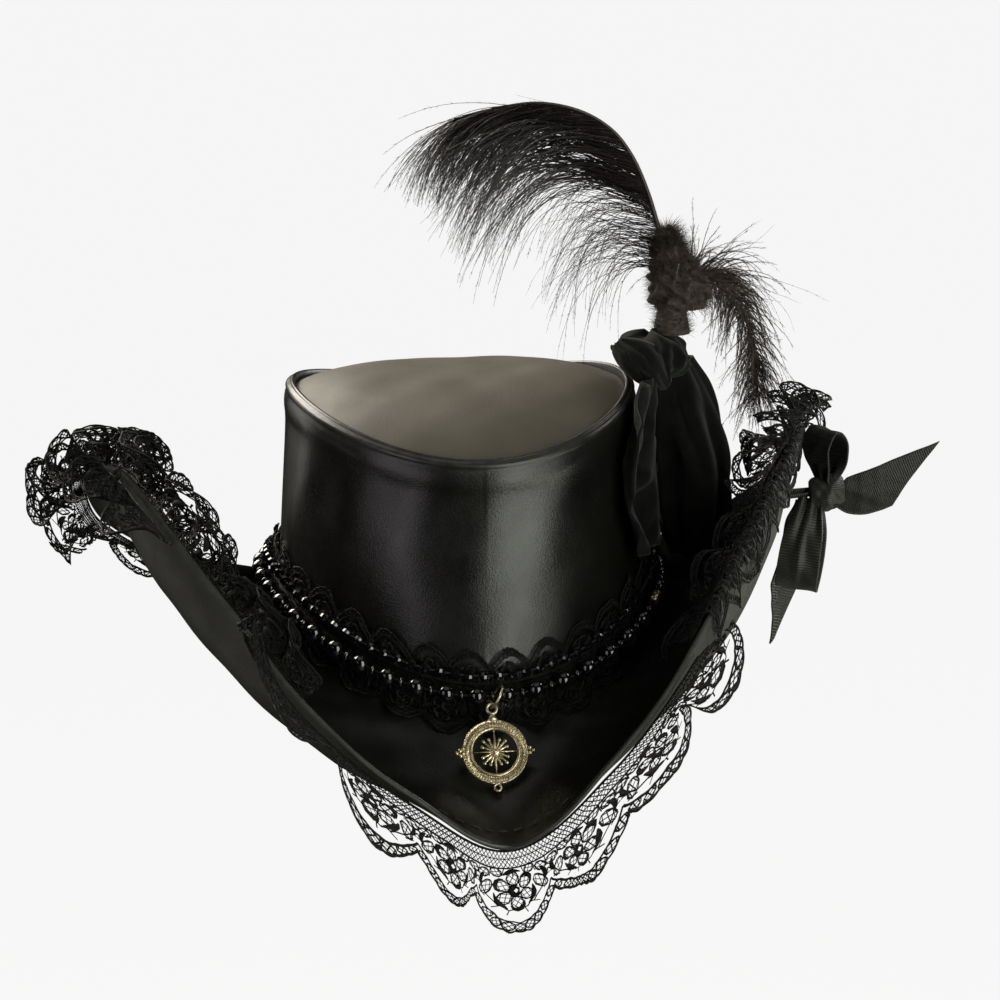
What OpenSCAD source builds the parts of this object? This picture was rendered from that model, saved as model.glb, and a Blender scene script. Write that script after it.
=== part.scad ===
// Cavalier-brimmed leather pirate hat: a stitched crown and brim, lace, two bead strands with a
// compass pendant, a velvet drape with two ostrich plumes, and a ribbon bow.
// +Z is up, the front is -Y, and +X is the side with the plumes and the bow.
// The origin is the middle of the head opening, level with the sides of the crown's foot.
// Angles p go round the crown from the front (0) through +X (90) to the back (180).

/* [Crown] */
// Half width of the crown's foot
foot_a = 85; // [80:0.5:88]
// Half length of the crown's foot
foot_b = 101; // [96:0.5:104]
// How far the crown narrows in half width towards the rim
taper_a = 4.5; // [2:0.5:8]
// How far the crown narrows in half length towards the rim
taper_b = 11; // [6:0.5:14]
// Height of the rim at the two sides
rim_z = 104; // [96:1:112]
// How much lower the rim is at the front and back
rim_dip = 17; // [10:1:22]
// How far the foot of the crown dips at the front
front_dip = 28; // [22:1:30]
// How far the foot of the crown dips at the back
back_dip = 14; // [8:1:18]
// Thickness of the crown leather
wall = 2.4; // [2:0.1:3]
// Height of the domed tip above the plane of its edge
dome = 17; // [10:1:22]

/* [Brim] */
// Thickness of the brim leather
brim_th = 3; // [2.4:0.1:3.4]
// Width of the brim at the front and back
brim_front = 75; // [70:1:80]
// Extra width of the brim at the sides
brim_extra = 35; // [30:1:38]

/* [Trim] */
// Diameter of the round beads
bead_d = 8; // [6:0.5:8.5]
// Diameter of the flat beads between the round ones
spacer_d = 5; // [4:0.5:5.5]
// Diameter of the faceted beads of the upper strand
crystal_d = 4.8; // [4:0.2:5.2]
// Width of the grosgrain ribbon
ribbon_w = 20; // [16:1:24]
// Thickness of the grosgrain ribbon
ribbon_th = 1; // [0.8:0.1:1.4]

/* [Pendant] */
// Outer radius of the compass ring
ring_r = 14.8; // [13:0.1:16]
// Radius of the compass opening
ring_hole_r = 9.8; // [9:0.1:10.5]
// Thickness of the compass ring
ring_th = 2; // [1.6:0.1:2.4]
// Lean of the hanging pendant from upright
pendant_lean = 33; // [32:1:36]

/* [Hidden] */
$fn = 48;

leather_black = [0.07, 0.07, 0.07];
leather_taupe = [0.28, 0.27, 0.25];
lace_black = [0.11, 0.11, 0.11];
bead_black = [0.03, 0.03, 0.04];
old_gold = [0.78, 0.72, 0.52];
velvet_black = [0.02, 0.02, 0.03];
feather_brown = [0.2, 0.15, 0.13];
ribbon_grey = [0.15, 0.15, 0.13];

gap = 0.4;                  // clearance between layers that lie on each other
seam_gap = 0.2;             // half angle left open at the seam down the crown's back, degrees
sweat_th = 1.4;
sweat_h = 34;
lining_th = 0.5;
lining_out = wall + 0.5;    // how far the lining lies inside the outer face
sweat_out = lining_out + lining_th + gap;
tip_drop = 4;               // how far the tip's edge lies below the rim
tip_th = 2;

// Slope of the brim where it leaves the crown, at the front, the sides and the back
slope_front = -45;
slope_side = 15;
slope_back = -25;
// Slope of the brim's edge against the angle round the hat; the +X side is rolled up further
EDGE_SLOPE = [[-180, -12], [-145, -4], [-120, 30], [-105, 66], [-90, 96], [-75, 110], [-60, 121],
    [-45, 120], [-30, 90], [-15, 44], [0, -10], [15, 46], [30, 88], [45, 107], [60, 105], [75, 94],
    [90, 80], [105, 59], [120, 30], [145, -4], [180, -12]];
// Share of the brim's roll made over the inner half of its width, at the -X and the +X side
early_left = 0.2;
early_right = 0.42;

// The strands' height at the sides and how far they dip at the front and back
strand_z = 15;
strand_front_dip = 30;
strand_back_dip = 20;
lower_out = 8.6;            // how far the lower strand's beads lie off the crown
upper_out = 5.4;
upper_rise = 8.2;           // how far the upper strand lies above the lower one
thread_r = 0.5;
pairs = 44;                 // round and flat beads in the lower strand
crystals = 88;
clasp_p = 64;               // where the clasp of the strands lies
clasp_span = 5;             // half angle left free of beads for the clasp

jump_r = 5.5;               // centreline radius of the jump ring
jump_wire = 0.6;
jump_tilt = 30;
bail_rise = 19.7;           // from the compass centre to the middle of its bail loop
bail_r = 2.2;
bail_wire = 0.8;
bail_drop = 0.5;            // from the jump ring's wire to the middle of the bail

plume_foot = [99, -6, 140];
bow_at = [174, -2, 44];

// ---- general functions ----
function mix(a, b, t) = a + (b - a) * t;
function limit(x, lo, hi) = max(lo, min(hi, x));
function smooth(t) = let (u = limit(t, 0, 1)) u * u * (3 - 2 * u);
function square_of(x) = x * x;
function unit(v) = v / norm(v);

// Smooth curve through knots [[x, y], ...] whose x values rise
function tangent(k, i) = let (a = max(i - 1, 0), b = min(i + 1, len(k) - 1))
    (k[b][1] - k[a][1]) / (k[b][0] - k[a][0]);
function knot_index(k, x, i = 0) = i >= len(k) - 2 || x < k[i + 1][0] ? i : knot_index(k, x, i + 1);
function curve(k, x) = let (
        i = knot_index(k, x),
        h = k[i + 1][0] - k[i][0],
        t = limit((x - k[i][0]) / h, 0, 1),
        t2 = t * t,
        t3 = t2 * t)
    (2 * t3 - 3 * t2 + 1) * k[i][1] + (t3 - 2 * t2 + t) * h * tangent(k, i)
    + (3 * t2 - 2 * t3) * k[i + 1][1] + (t3 - t2) * h * tangent(k, i + 1);
function half_turn(p) = (p + 180) - 360 * floor((p + 180) / 360) - 180;

// ---- surfaces of the crown ----
function dip_z(p, front, back) = -(cos(p) > 0 ? front : back) * square_of(cos(p));
function foot_z(p) = dip_z(p, front_dip, back_dip);
function top_z(p) = rim_z - rim_dip * square_of(cos(p));
function out_dir(p) = unit([sin(p) / foot_a, -cos(p) / foot_b, 0]);
function narrowing(t) = smooth(t * 1.15);
// Point of the crown's outer face at height share t, moved outward by d
function crown_at(p, t, d = 0) =
    [(foot_a - taper_a * narrowing(t)) * sin(p), -(foot_b - taper_b * narrowing(t)) * cos(p),
        mix(foot_z(p), top_z(p), t)] + d * out_dir(p);
function crown_at_z(p, z, d = 0) =
    let (q = crown_at(p, (z - foot_z(p)) / (top_z(p) - foot_z(p)), d)) [q[0], q[1], z];

// ---- surfaces of the brim ----
function slope_in(p) = let (c = cos(p))
    mix(c > 0 ? slope_front : slope_back, slope_side, square_of(sin(p)));
function slope_out(p) = curve(EDGE_SLOPE, half_turn(p));
function brim_w(p) = brim_front + brim_extra * square_of(sin(p));
// Run and rise of an arc of the given length whose slope goes from s0 to s1
function arc(length, s0, s1) = let (
        turn = abs(s1 - s0) < 0.01 ? 0.01 : s1 - s0,
        r = length / (turn * PI / 180))
    [r * (sin(s0 + turn) - sin(s0)), r * (cos(s0) - cos(s0 + turn))];
function brim_slope(p, u) = let (
        s0 = slope_in(p),
        turn = slope_out(p) - s0,
        early = mix(early_left, early_right, smooth(0.5 + sin(p))))
    s0 + turn * (u < 0.5 ? 2 * u * early : early + (2 * u - 1) * (1 - early));
// Point of the brim's upper face at width share u, moved along the face's normal by w
function brim_at(p, u, w = 0) = let (
        s = brim_slope(p, u),
        inner = arc(brim_w(p) * min(u, 0.5), slope_in(p), brim_slope(p, min(u, 0.5))),
        outer = u > 0.5 ? arc(brim_w(p) * (u - 0.5), brim_slope(p, 0.5), s) : [0, 0],
        q = inner + outer + w * [-sin(s), cos(s)],
        b = crown_at(p, 0))
    b + q[0] * out_dir(p) + [0, 0, q[1]];

// ---- solids from rings of points ----
function ring_faces(n, m, closed) = [for (i = [0:(closed ? n : n - 1) - 1], j = [0:m - 1])
    let (a = i * m + j, b = i * m + (j + 1) % m, c = ((i + 1) % n) * m + (j + 1) % m,
        d = ((i + 1) % n) * m + j)
    each [[a, c, b], [a, d, c]]];
function end_faces(n, m) = [[for (j = [0:m - 1]) j], [for (j = [m - 1:-1:0]) (n - 1) * m + j]];
module loft(rings, closed = false) {
    n = len(rings);
    m = len(rings[0]);
    polyhedron([for (r = rings) each r],
        concat(ring_faces(n, m, closed), closed ? [] : end_faces(n, m)));
}
// Solid stacked from level ellipses, each [z, x, y, rx, ry]
module pod(levels, sides = 20) {
    loft([for (v = levels) [for (j = [sides - 1:-1:0]) let (a = 360 * j / sides)
        [v[1] + v[3] * cos(a), v[2] + v[4] * sin(a), v[0]]]]);
}
// Round tube along a path of points, with a radius for each
module tube(path, radii, sides = 8) {
    n = len(path);
    loft([for (i = [0:n - 1]) let (
            along = unit(path[min(i + 1, n - 1)] - path[max(i - 1, 0)]),
            side = unit(cross(along, [0.03, 1, 0.02])),
            other = cross(along, side))
        [for (j = [0:sides - 1]) let (a = 360 * j / sides)
            path[i] + radii[i] * (cos(a) * side + sin(a) * other)]]);
}

// ---- crown ----
module crown_side() {
    steps = 96;
    soft_top = 1.2;
    rows = [0, 0.08, 0.2, 0.35, 0.5, 0.65, 0.8, 0.92, 0.985];
    function foot_lift(p, d) = gap + d * tan(slope_in(p));
    function section(p) = concat(
        [for (t = rows) crown_at(p, t) + [0, 0, (1 - t) * foot_lift(p, 0)]],
        [for (a = [30, 90, 150]) crown_at(p, 1, (cos(a) - 1) * soft_top) + [0, 0, sin(a) * 0.6]],
        [for (i = [len(rows) - 1:-1:0])
            crown_at(p, rows[i], -wall) + [0, 0, (1 - rows[i]) * foot_lift(p, -wall)]]);
    color(leather_black)
        loft([for (i = [0:steps]) section(-180 + seam_gap + (360 - 2 * seam_gap) * i / steps)]);
}

// Point of the domed tip: r runs from 0 in the middle to 1 at its edge, h moves it down
function tip_at(p, r, h = 0) = let (
        edge = crown_at(p, 1, -wall - gap),
        level = rim_z - rim_dip / 2 - tip_drop,
        z = level + (top_z(p) - tip_drop - level) * r * r + dome * (1 - pow(r, 3.2)))
    [edge[0] * r, edge[1] * r, z - h];

module crown_tip() {
    steps = 72;
    shares = [0.12, 0.35, 0.6, 0.78, 0.9, 0.97, 1];
    skirt = 7;
    turns = [for (i = [0:steps - 1]) 360 * i / steps];
    color(leather_taupe) loft(concat(
        [for (r = shares) [for (p = turns) tip_at(p, r)]],
        [[for (p = turns) tip_at(p, 1, skirt)]],
        [[for (p = turns) tip_at(p, 0.985, skirt) - (tip_th - 1) * out_dir(p)]],
        [for (i = [len(shares) - 1:-1:0]) [for (p = turns) tip_at(p, shares[i] * 0.985, tip_th)]]));
}

module crown_lining() {
    steps = 72;
    rows = [0.12, 0.4, 0.7, 0.84];
    shares = [0.93, 0.88, 0.75, 0.45, 0.12];
    top_h = tip_th + 1.2;
    turns = [for (i = [0:steps - 1]) 360 * i / steps];
    function side(s, t) = [for (p = turns) crown_at(p, s, -lining_out - t)];
    function top(r, t) = [for (p = turns) tip_at(p, r, top_h + t)];
    color("dimgray") loft(concat(
        [for (i = [len(shares) - 1:-1:0]) top(shares[i], 0)],
        [for (i = [len(rows) - 1:-1:0]) side(rows[i], 0)],
        [for (s = rows) side(s, lining_th)],
        [for (r = shares) top(r, lining_th)]));
}

module sweatband() {
    steps = 72;
    function section(p) = let (lo = foot_z(p) - 5, hi = lo + sweat_h)
        [crown_at_z(p, lo, -sweat_out), crown_at_z(p, (lo + hi) / 2, -sweat_out),
            crown_at_z(p, hi, -sweat_out), crown_at_z(p, hi, -sweat_out - sweat_th),
            crown_at_z(p, (lo + hi) / 2, -sweat_out - sweat_th),
            crown_at_z(p, lo, -sweat_out - sweat_th)];
    color("saddlebrown") loft([for (i = [0:steps - 1]) section(360 * i / steps)], closed = true);
}

// ---- brim ----
module brim() {
    steps = 96;
    shares = [0, 0.14, 0.32, 0.5, 0.62, 0.74, 0.86, 0.97];
    lip = sweat_out - gap;
    // The lip carries the brim's slope on inwards as far as the sweatband
    function lip_at(p, w) = let (s = slope_in(p), inwards = (lip - w * sin(s)) / cos(s))
        brim_at(p, 0, w) - inwards * (cos(s) * out_dir(p) + [0, 0, sin(s)]);
    function section(p) = concat([lip_at(p, 0)], [for (u = shares) brim_at(p, u)],
        [brim_at(p, 1, -brim_th * 0.25), brim_at(p, 1, -brim_th * 0.75)],
        [for (i = [len(shares) - 1:-1:0]) brim_at(p, shares[i], -brim_th)], [lip_at(p, -brim_th)]);
    color(leather_black) loft([for (i = [0:steps - 1]) section(360 * i / steps)], closed = true);
}

// ---- stitching ----
// Short stitch lying between two points
module stitch(a, b, r = 0.35) {
    v = b - a;
    translate(a) rotate([0, acos(v[2] / norm(v)), atan2(v[1], v[0])])
        cylinder(r = r, h = norm(v), $fn = 16);
}

module foot_stitches() {
    stitches = 72;
    rise = 4;
    color("dimgray") for (i = [0:stitches - 1]) {
        p = 360 * i / stitches;
        q = p + 230 / stitches;
        stitch(crown_at_z(p, foot_z(p) + rise, 0.6), crown_at_z(q, foot_z(q) + rise, 0.6));
    }
}

module back_seam_stitches() {
    stitches = 14;
    color("dimgray") for (side = [-1, 1], i = [0:stitches - 1]) {
        t = 0.3 + 0.64 * i / stitches;
        stitch(crown_at(180 + side * 2.4, t, 0.5), crown_at(180 + side * 2.4, t + 0.03, 0.5));
    }
}

module brim_point_stitches() {
    stitches = 9;
    spread = 11;
    color("dimgray") for (i = [0:stitches - 1]) {
        p = -spread + 2 * spread * i / stitches;
        u = 0.86 + 0.03 * square_of(p / spread);
        stitch(brim_at(p, u, 1), brim_at(p + 1.3, u, 1));
    }
}

// ---- lace ----
// Flounce that stands out beyond the brim's edge. Its width leaves the edge at an angle turn to
// the brim (0 straight on, below 0 towards the under face), and its folds swing by wave degrees.
lace_th = 1.2;
function edge_out(p) = let (s = slope_out(p)) cos(s) * out_dir(p) + [0, 0, sin(s)];
function edge_up(p) = let (s = slope_out(p)) [0, 0, cos(s)] - sin(s) * out_dir(p);
module flounce(p0, p1, turn, wave, folds, width, sewn_u, lift, steps = 64) {
    function at(i, v, w) = let (
            p = mix(p0, p1, i / steps),
            a = turn + wave * sin(360 * folds * i / steps),
            along = cos(a) * edge_out(p) + sin(a) * edge_up(p),
            face = cos(a) * edge_up(p) - sin(a) * edge_out(p))
        brim_at(p, sewn_u, lift) + v * width * along + w * lace_th * face;
    color(lace_black) loft([for (i = [0:steps])
        [at(i, 0, 0), at(i, 0.5, 0), at(i, 1, 0), at(i, 1, 1), at(i, 0.5, 1), at(i, 0, 1)]]);
}
// Ruffle folded back over the brim's under face, from the edge inwards
module folded_ruffle(p0, p1, folds, width, steps = 64) {
    function at(i, v, w) = let (p = mix(p0, p1, i / steps))
        brim_at(p, 0.985 - v * width / brim_w(p),
            -brim_th - 0.8 - v * (3 + 1.5 * sin(360 * folds * i / steps)) - w * lace_th);
    color(lace_black) loft([for (i = [0:steps])
        [at(i, 0, 0), at(i, 0.5, 0), at(i, 1, 0), at(i, 1, 1), at(i, 0.5, 1), at(i, 0, 1)]]);
}
module brim_lace_front() {
    flounce(-42, 40, -50, 9, 5, 32, 0.985, -brim_th - 1.6);
}
module brim_lace_left_ruffle() {
    flounce(-100, -34, 22, 12, 7, 24, 0.975, 1.2);
}
module brim_lace_left_wing() {
    flounce(-120, -64, -80, 17, 5, 34, 0.97, -brim_th - 1.6, 84);
}
module brim_lace_right_fold() {
    folded_ruffle(34, 104, 7, 20);
}
module brim_lace_right_wing() {
    flounce(70, 112, -6, 10, 5, 27, 0.985, 2.8);
}
module brim_lace_back() {
    flounce(124, 236, -20, 8, 11, 26, 0.98, -brim_th - 1.6, 80);
}

module lace_tacks() {
    color("dimgray") for (p = [-106, -90, -74, -58, -44, 44, 58, 74, 90, 106])
        translate(brim_at(p, 0.975, 0.55)) sphere(r = 0.5, $fn = 16);
}

// Lace band round the crown: it lies on the wall and flares out over the brim
module hatband_lace() {
    steps = 96;
    thick = 1;
    function face(p, d) = [
        crown_at_z(p, strand_line(p) + 17 + 1.5 * sin(18 * p), d + 0.6),
        crown_at_z(p, strand_line(p) + 4, d),
        crown_at_z(p, foot_z(p) + 7, d),
        brim_at(p, 0.06, 4 + d),
        brim_at(p, 0.13 + 0.01 * sin(18 * p), 1 + d)];
    function section(p) = let (a = face(p, 1.4), b = face(p, 1.4 + thick))
        concat([for (j = [len(a) - 1:-1:0]) a[j]], b);
    color(lace_black) loft([for (i = [0:steps - 1]) section(360 * i / steps)], closed = true);
}

// ---- bead strands ----
function strand_line(p) = strand_z + dip_z(p, strand_front_dip, strand_back_dip);
function lower_at(p) = crown_at_z(p, strand_line(p), lower_out);
function upper_at(p) = crown_at_z(p, strand_line(p) + upper_rise, upper_out);
function off_clasp(p) = abs(half_turn(p - clasp_p)) > clasp_span;

// Bead with a bore, lying along the strand at point a and heading for point b: a ball, or a
// flat bead with a bevelled rim
module bead(a, b, r, flat = false) {
    v = b - a;
    translate(a) rotate([0, acos(v[2] / norm(v)), atan2(v[1], v[0])]) difference() {
        if (flat) rotate_extrude($fn = 32) polygon([[0, -0.5 * r], [0.8 * r, -0.5 * r],
            [r, -0.25 * r], [r, 0.25 * r], [0.8 * r, 0.5 * r], [0, 0.5 * r]]);
        else sphere(r = r, $fn = 32);
        cylinder(r = thread_r + 0.3, h = 4 * r, center = true, $fn = 24);
    }
}
module thread(rise_out) {
    steps = 88;
    sides = 6;
    path = [for (i = [0:steps - 1]) rise_out ? upper_at(360 * i / steps) : lower_at(360 * i / steps)];
    loft([for (i = [0:steps - 1]) let (
            along = unit(path[(i + 1) % steps] - path[(i + steps - 1) % steps]),
            side = unit(cross(along, [0, 0, 1])),
            other = cross(along, side))
        [for (j = [0:sides - 1]) let (a = 360 * j / sides)
            path[i] + thread_r * (cos(a) * side + sin(a) * other)]], closed = true);
}
module lower_strand_thread() {
    color(bead_black) thread(false);
}
module upper_strand_thread() {
    color(bead_black) thread(true);
}
module round_beads() {
    color(bead_black) for (i = [0:pairs - 1]) {
        p = 360 * (i + 0.5) / pairs;
        if (off_clasp(p)) bead(lower_at(p), lower_at(p + 0.5), bead_d / 2);
    }
}
module spacer_beads() {
    color(bead_black) for (i = [0:pairs - 1]) {
        p = 360 * i / pairs;
        if (off_clasp(p)) bead(lower_at(p), lower_at(p + 0.5), spacer_d / 2, true);
    }
}
module crystal_beads() {
    color(bead_black) for (i = [0:crystals - 1]) {
        p = 360 * (i + 0.5) / crystals;
        if (off_clasp(p)) bead(upper_at(p), upper_at(p + 0.5), crystal_d / 2);
    }
}
// Barrel clasp on the lower strand with a plain end on each side
module strand_clasp() {
    a = lower_at(clasp_p);
    v = lower_at(clasp_p + 0.5) - a;
    color(old_gold) translate(a) rotate([0, acos(v[2] / norm(v)), atan2(v[1], v[0])])
        rotate_extrude($fn = 32) polygon([[0.8, -5], [1.6, -5], [1.6, -4], [2.4, -3.4], [2.4, -0.6],
            [2, -0.4], [2, 0.4], [2.4, 0.6], [2.4, 3.4], [1.6, 4], [1.6, 5], [0.8, 5]]);
}

// ---- pendant ----
module ring_of(r, wire) {
    rotate_extrude() translate([r, 0]) circle(r = wire, $fn = 20);
}
function jump_at() = lower_at(0) + [1.5, -1, -0.2];
// Middle of the bail, which hangs on the ring's wire, as far round it as the pendant leans
function bail_at() = jump_at()
    - jump_r * (cos(pendant_lean) * [sin(jump_tilt), 0, cos(jump_tilt)] + [0, sin(pendant_lean), 0])
    - bail_drop * [0, sin(pendant_lean), cos(pendant_lean)];

module jump_ring() {
    color(old_gold) translate(jump_at()) rotate([0, jump_tilt, 0]) rotate([0, 90, 0])
        ring_of(jump_r, jump_wire);
}
// Places the pendant, drawn flat in X and Y with its face towards +Z, below the bail
module hang() {
    translate(bail_at()) rotate([90 - pendant_lean, 0, 0]) translate([0, -bail_rise, 0]) children();
}
module knob_pair(side) {
    translate([side * (ring_r + 0.6), 0, 0]) {
        translate([0, 1.1, 0]) sphere(r = 1.05, $fn = 24);
        translate([0, -1.1, 0]) sphere(r = 1.05, $fn = 24);
        translate([side * 1.3, 0, 0]) sphere(r = 0.9, $fn = 24);
    }
}
module compass_frame() {
    neck_w = 4.6;
    color(old_gold) hang() {
        rotate_extrude($fn = 96) polygon([[ring_hole_r, -ring_th / 2], [ring_r - 0.4, -ring_th / 2],
            [ring_r, -ring_th / 2 + 0.4], [ring_r, ring_th * 0.1], [ring_r - 0.5, ring_th * 0.35],
            [ring_hole_r + 1.9, ring_th * 0.3], [ring_hole_r + 1.6, ring_th / 2],
            [ring_hole_r + 0.3, ring_th / 2], [ring_hole_r, ring_th * 0.35]]);
        translate([-neck_w / 2, ring_r - 1, -0.9])
            cube([neck_w, bail_rise - bail_r - ring_r + 1, 2.2]);
        translate([0, bail_rise, 0]) ring_of(bail_r, bail_wire);
        translate([0, -ring_r - 1.2, 0]) ring_of(1.5, 0.6);
        knob_pair(1);
        knob_pair(-1);
    }
}
module needle(length, half_w) {
    polygon([[-half_w * 0.5, 0], [-half_w, length * 0.35], [-0.25, length], [0.25, length],
        [half_w, length * 0.35], [half_w * 0.5, 0]]);
}
module petal(length) {
    translate([-0.55, 0]) square([1.1, length]);
    translate([0, length]) circle(r = 0.55, $fn = 20);
}
module compass_rose() {
    color(old_gold) hang() {
        translate([0, 0, -0.5]) linear_extrude(1.1) {
            circle(r = 2.2);
            for (a = [0, 180]) rotate(a) needle(ring_hole_r + 0.6, 0.95);
            for (a = [90, 270]) rotate(a) needle(ring_hole_r + 0.4, 0.6);
            for (q = [0:3], k = [-1:1]) rotate(45 + 90 * q + 22 * k) petal(k == 0 ? 6.9 : 6.1);
        }
        cylinder(r = 1.3, h = 1.3);
    }
}

// ---- velvet ----
module velvet_knot() {
    color(velvet_black) pod([[106.5, 91, -9, 8, 9], [110, 90, -10, 14, 15], [115, 89, -11, 17, 17],
        [120, 88, -11, 14, 15], [124, 88, -11, 7, 8]]);
}
// Level of a pod whose ellipse lies against the crown at the angle p
function beside_crown(p, z, rx, ry) = let (
        n = out_dir(p),
        c = crown_at_z(p, z, norm([rx * n[0], ry * n[1]]) + 1))
    [z, c[0], c[1], rx, ry];
module velvet_drape() {
    color(velvet_black) pod([beside_crown(64, 34, 4, 6), beside_crown(63, 42, 7, 10),
        beside_crown(62, 58, 8, 13), beside_crown(63, 78, 8, 13), beside_crown(67, 93, 7, 12),
        beside_crown(72, 104, 5, 8)]);
}
module velvet_loop() {
    color(velvet_black) pod([[14, 108, 4, 5, 6], [24, 111, 5, 12, 14], [44, 111, 6, 16, 22],
        [66, 109, 6, 16, 23], [88, 105, 6, 14, 20], [104, 102, 4, 7, 10]]);
}

// ---- plumes ----
module plume_binding() {
    color(feather_brown) translate([plume_foot[0] - 1, plume_foot[1], 126])
        cylinder(r1 = 8, r2 = 5.5, h = 13.4);
}
TALL_SPINE = [[98, -6, 140.5], [97, -6, 150], [95, -6, 162], [91, -6, 175], [86, -6, 191],
    [79, -6, 207], [69, -6, 220], [54, -6, 229], [35, -6, 233], [14, -6, 231]];
module tall_plume_quill() {
    color(feather_brown) tube(TALL_SPINE, [for (i = [0:len(TALL_SPINE) - 1]) 1.5 - 0.12 * i]);
}
// The barbs as two flat fans, in front of the quill and behind it
module tall_fan(y) {
    fan_th = 3;
    translate([0, y + fan_th, 0]) rotate([90, 0, 0]) linear_extrude(fan_th)
        polygon([[98, 150], [101, 165], [94, 188], [84, 208], [70, 225], [46, 236], [16, 238],
            [-14, 229], [-30, 207], [-26, 172], [-8, 150], [4, 148], [12, 172], [26, 190],
            [30, 150], [44, 132], [62, 134], [80, 136]]);
}
module tall_plume_vane() {
    color(feather_brown) tall_fan(-4.3);
    color(feather_brown) tall_fan(-10.7);
}
// Loose down round the foot of the tall plume
module tall_plume_down() {
    color(feather_brown) difference() {
        pod([[142, 102, -6.3, 6, 2.4], [147, 103, -6.3, 15, 2.4], [156, 100, -6.3, 11, 2.4],
            [168, 97, -6.3, 5, 2.4]]);
        translate([86, -9, 138]) cube([16, 6, 34]);
    }
}
SHORT_SPINE = [[102.5, -2, 140.5], [107, 0, 147], [115, 4, 150], [124, 8, 146], [132, 11, 136],
    [138, 13, 121], [142, 14, 103], [144, 15, 84]];
module short_plume_quill() {
    color(feather_brown) tube(SHORT_SPINE, [for (i = [0:len(SHORT_SPINE) - 1]) 1.2 - 0.1 * i]);
}
module short_plume_vane() {
    function ring_at(k, r, s) = [for (j = [0:15]) let (a = 360 * j / 16,
            along = unit(SHORT_SPINE[k + 1] - SHORT_SPINE[k - 1]),
            side = unit(cross(along, [0, 1, 0])),
            other = cross(along, side))
        SHORT_SPINE[k] + r * cos(a) * side + s * sin(a) * other];
    color(feather_brown) difference() {
        loft([ring_at(2, 5, 4), ring_at(3, 10, 7), ring_at(4, 13, 8), ring_at(5, 13, 8),
            ring_at(6, 9, 6)]);
        tube(SHORT_SPINE, [for (i = [0:len(SHORT_SPINE) - 1]) 1.6]);
    }
}

// ---- ribbon bow on the +X wing ----
// Ribbon loop: a teardrop band in X and Z, as wide as the ribbon in Y, its point at the origin
module ribbon_loop(reach, r) {
    steps = 28;
    // The teardrop's outline, drawn in by k: its point and the arc round its far end
    function drop(k) = let (
            point = 2 * k,
            open = 180 - acos((r - k) / (reach - r - point)))
        concat([[point, 0]], [for (i = [0:steps]) let (a = mix(-open, open, i / steps))
            [reach - r + (r - k) * cos(a), (r - k) * sin(a)]]);
    translate([0, ribbon_w / 2, 0]) rotate([90, 0, 0]) linear_extrude(ribbon_w) difference() {
        polygon(drop(0));
        polygon(drop(ribbon_th));
    }
}
module bow_knot() {
    color(ribbon_grey) translate(bow_at) rotate([90, 0, 0]) cylinder(r = 8, h = 18, center = true);
}
module bow_upper_loop() {
    color(ribbon_grey) translate(bow_at + [2.5, 0, 8.8]) rotate([0, -90, 0]) rotate([40, 0, 0])
        ribbon_loop(23, 6);
}
module bow_lower_loop() {
    color(ribbon_grey) translate(bow_at + [-7, -1, -8.8]) rotate([0, 98, 0]) rotate([-70, 0, 0])
        ribbon_loop(37, 9);
}
// Band that holds the bow to the wing, from the knot to the brim's outer face
module bow_anchor_band() {
    top = brim_at(92, 0.77, -brim_th - 0.4);
    color(ribbon_grey) translate([top[0], -7, bow_at[2] - 2])
        cube([bow_at[0] - 8.4 - top[0], 14, 4]);
}
// Flat ribbon along a smooth path. Each knot is [share, x, y, z, roll], and roll turns the
// ribbon's width from Y towards its upper side
module ribbon_strip(knots, steps = 24) {
    function column(c) = [for (k = knots) [k[0], k[c]]];
    function at(t) = [for (c = [1:3]) curve(column(c), t)];
    loft([for (i = [0:steps]) let (
            t = i / steps,
            along = unit(at(t + 0.5 / steps) - at(t - 0.5 / steps)),
            flat0 = unit(cross(along, [0, 1, 0])),
            wide0 = cross(flat0, along),
            roll = curve(column(4), t),
            wide = cos(roll) * wide0 + sin(roll) * flat0,
            thin = cross(along, wide))
        [at(t) + ribbon_w / 2 * wide + ribbon_th / 2 * thin,
            at(t) - ribbon_w / 2 * wide + ribbon_th / 2 * thin,
            at(t) - ribbon_w / 2 * wide - ribbon_th / 2 * thin,
            at(t) + ribbon_w / 2 * wide - ribbon_th / 2 * thin]]);
}
module bow_side_tail() {
    color(ribbon_grey) ribbon_strip([[0, 184, -4, 42, 60], [0.3, 196, -5, 45, 72],
        [0.6, 210, -6, 51, 80], [1, 230, -8, 59, 85]]);
}
module bow_hanging_tail() {
    color(ribbon_grey) ribbon_strip([[0, 168, 11, 37, 78], [0.2, 166, 14, 26, 70],
        [0.45, 163, 15.5, 12, 62], [0.7, 157, 14.5, -4, 52], [1, 147, 10, -33, 38]]);
}

crown_side();
crown_tip();
crown_lining();
sweatband();
brim();
foot_stitches();
back_seam_stitches();
brim_point_stitches();
hatband_lace();
brim_lace_front();
brim_lace_left_ruffle();
brim_lace_left_wing();
brim_lace_right_fold();
brim_lace_right_wing();
brim_lace_back();
lace_tacks();
lower_strand_thread();
round_beads();
spacer_beads();
upper_strand_thread();
crystal_beads();
strand_clasp();
jump_ring();
compass_frame();
compass_rose();
velvet_knot();
velvet_drape();
velvet_loop();
plume_binding();
tall_plume_quill();
tall_plume_vane();
tall_plume_down();
short_plume_quill();
short_plume_vane();
bow_anchor_band();
bow_knot();
bow_upper_loop();
bow_lower_loop();
bow_side_tail();
bow_hanging_tail();
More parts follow.
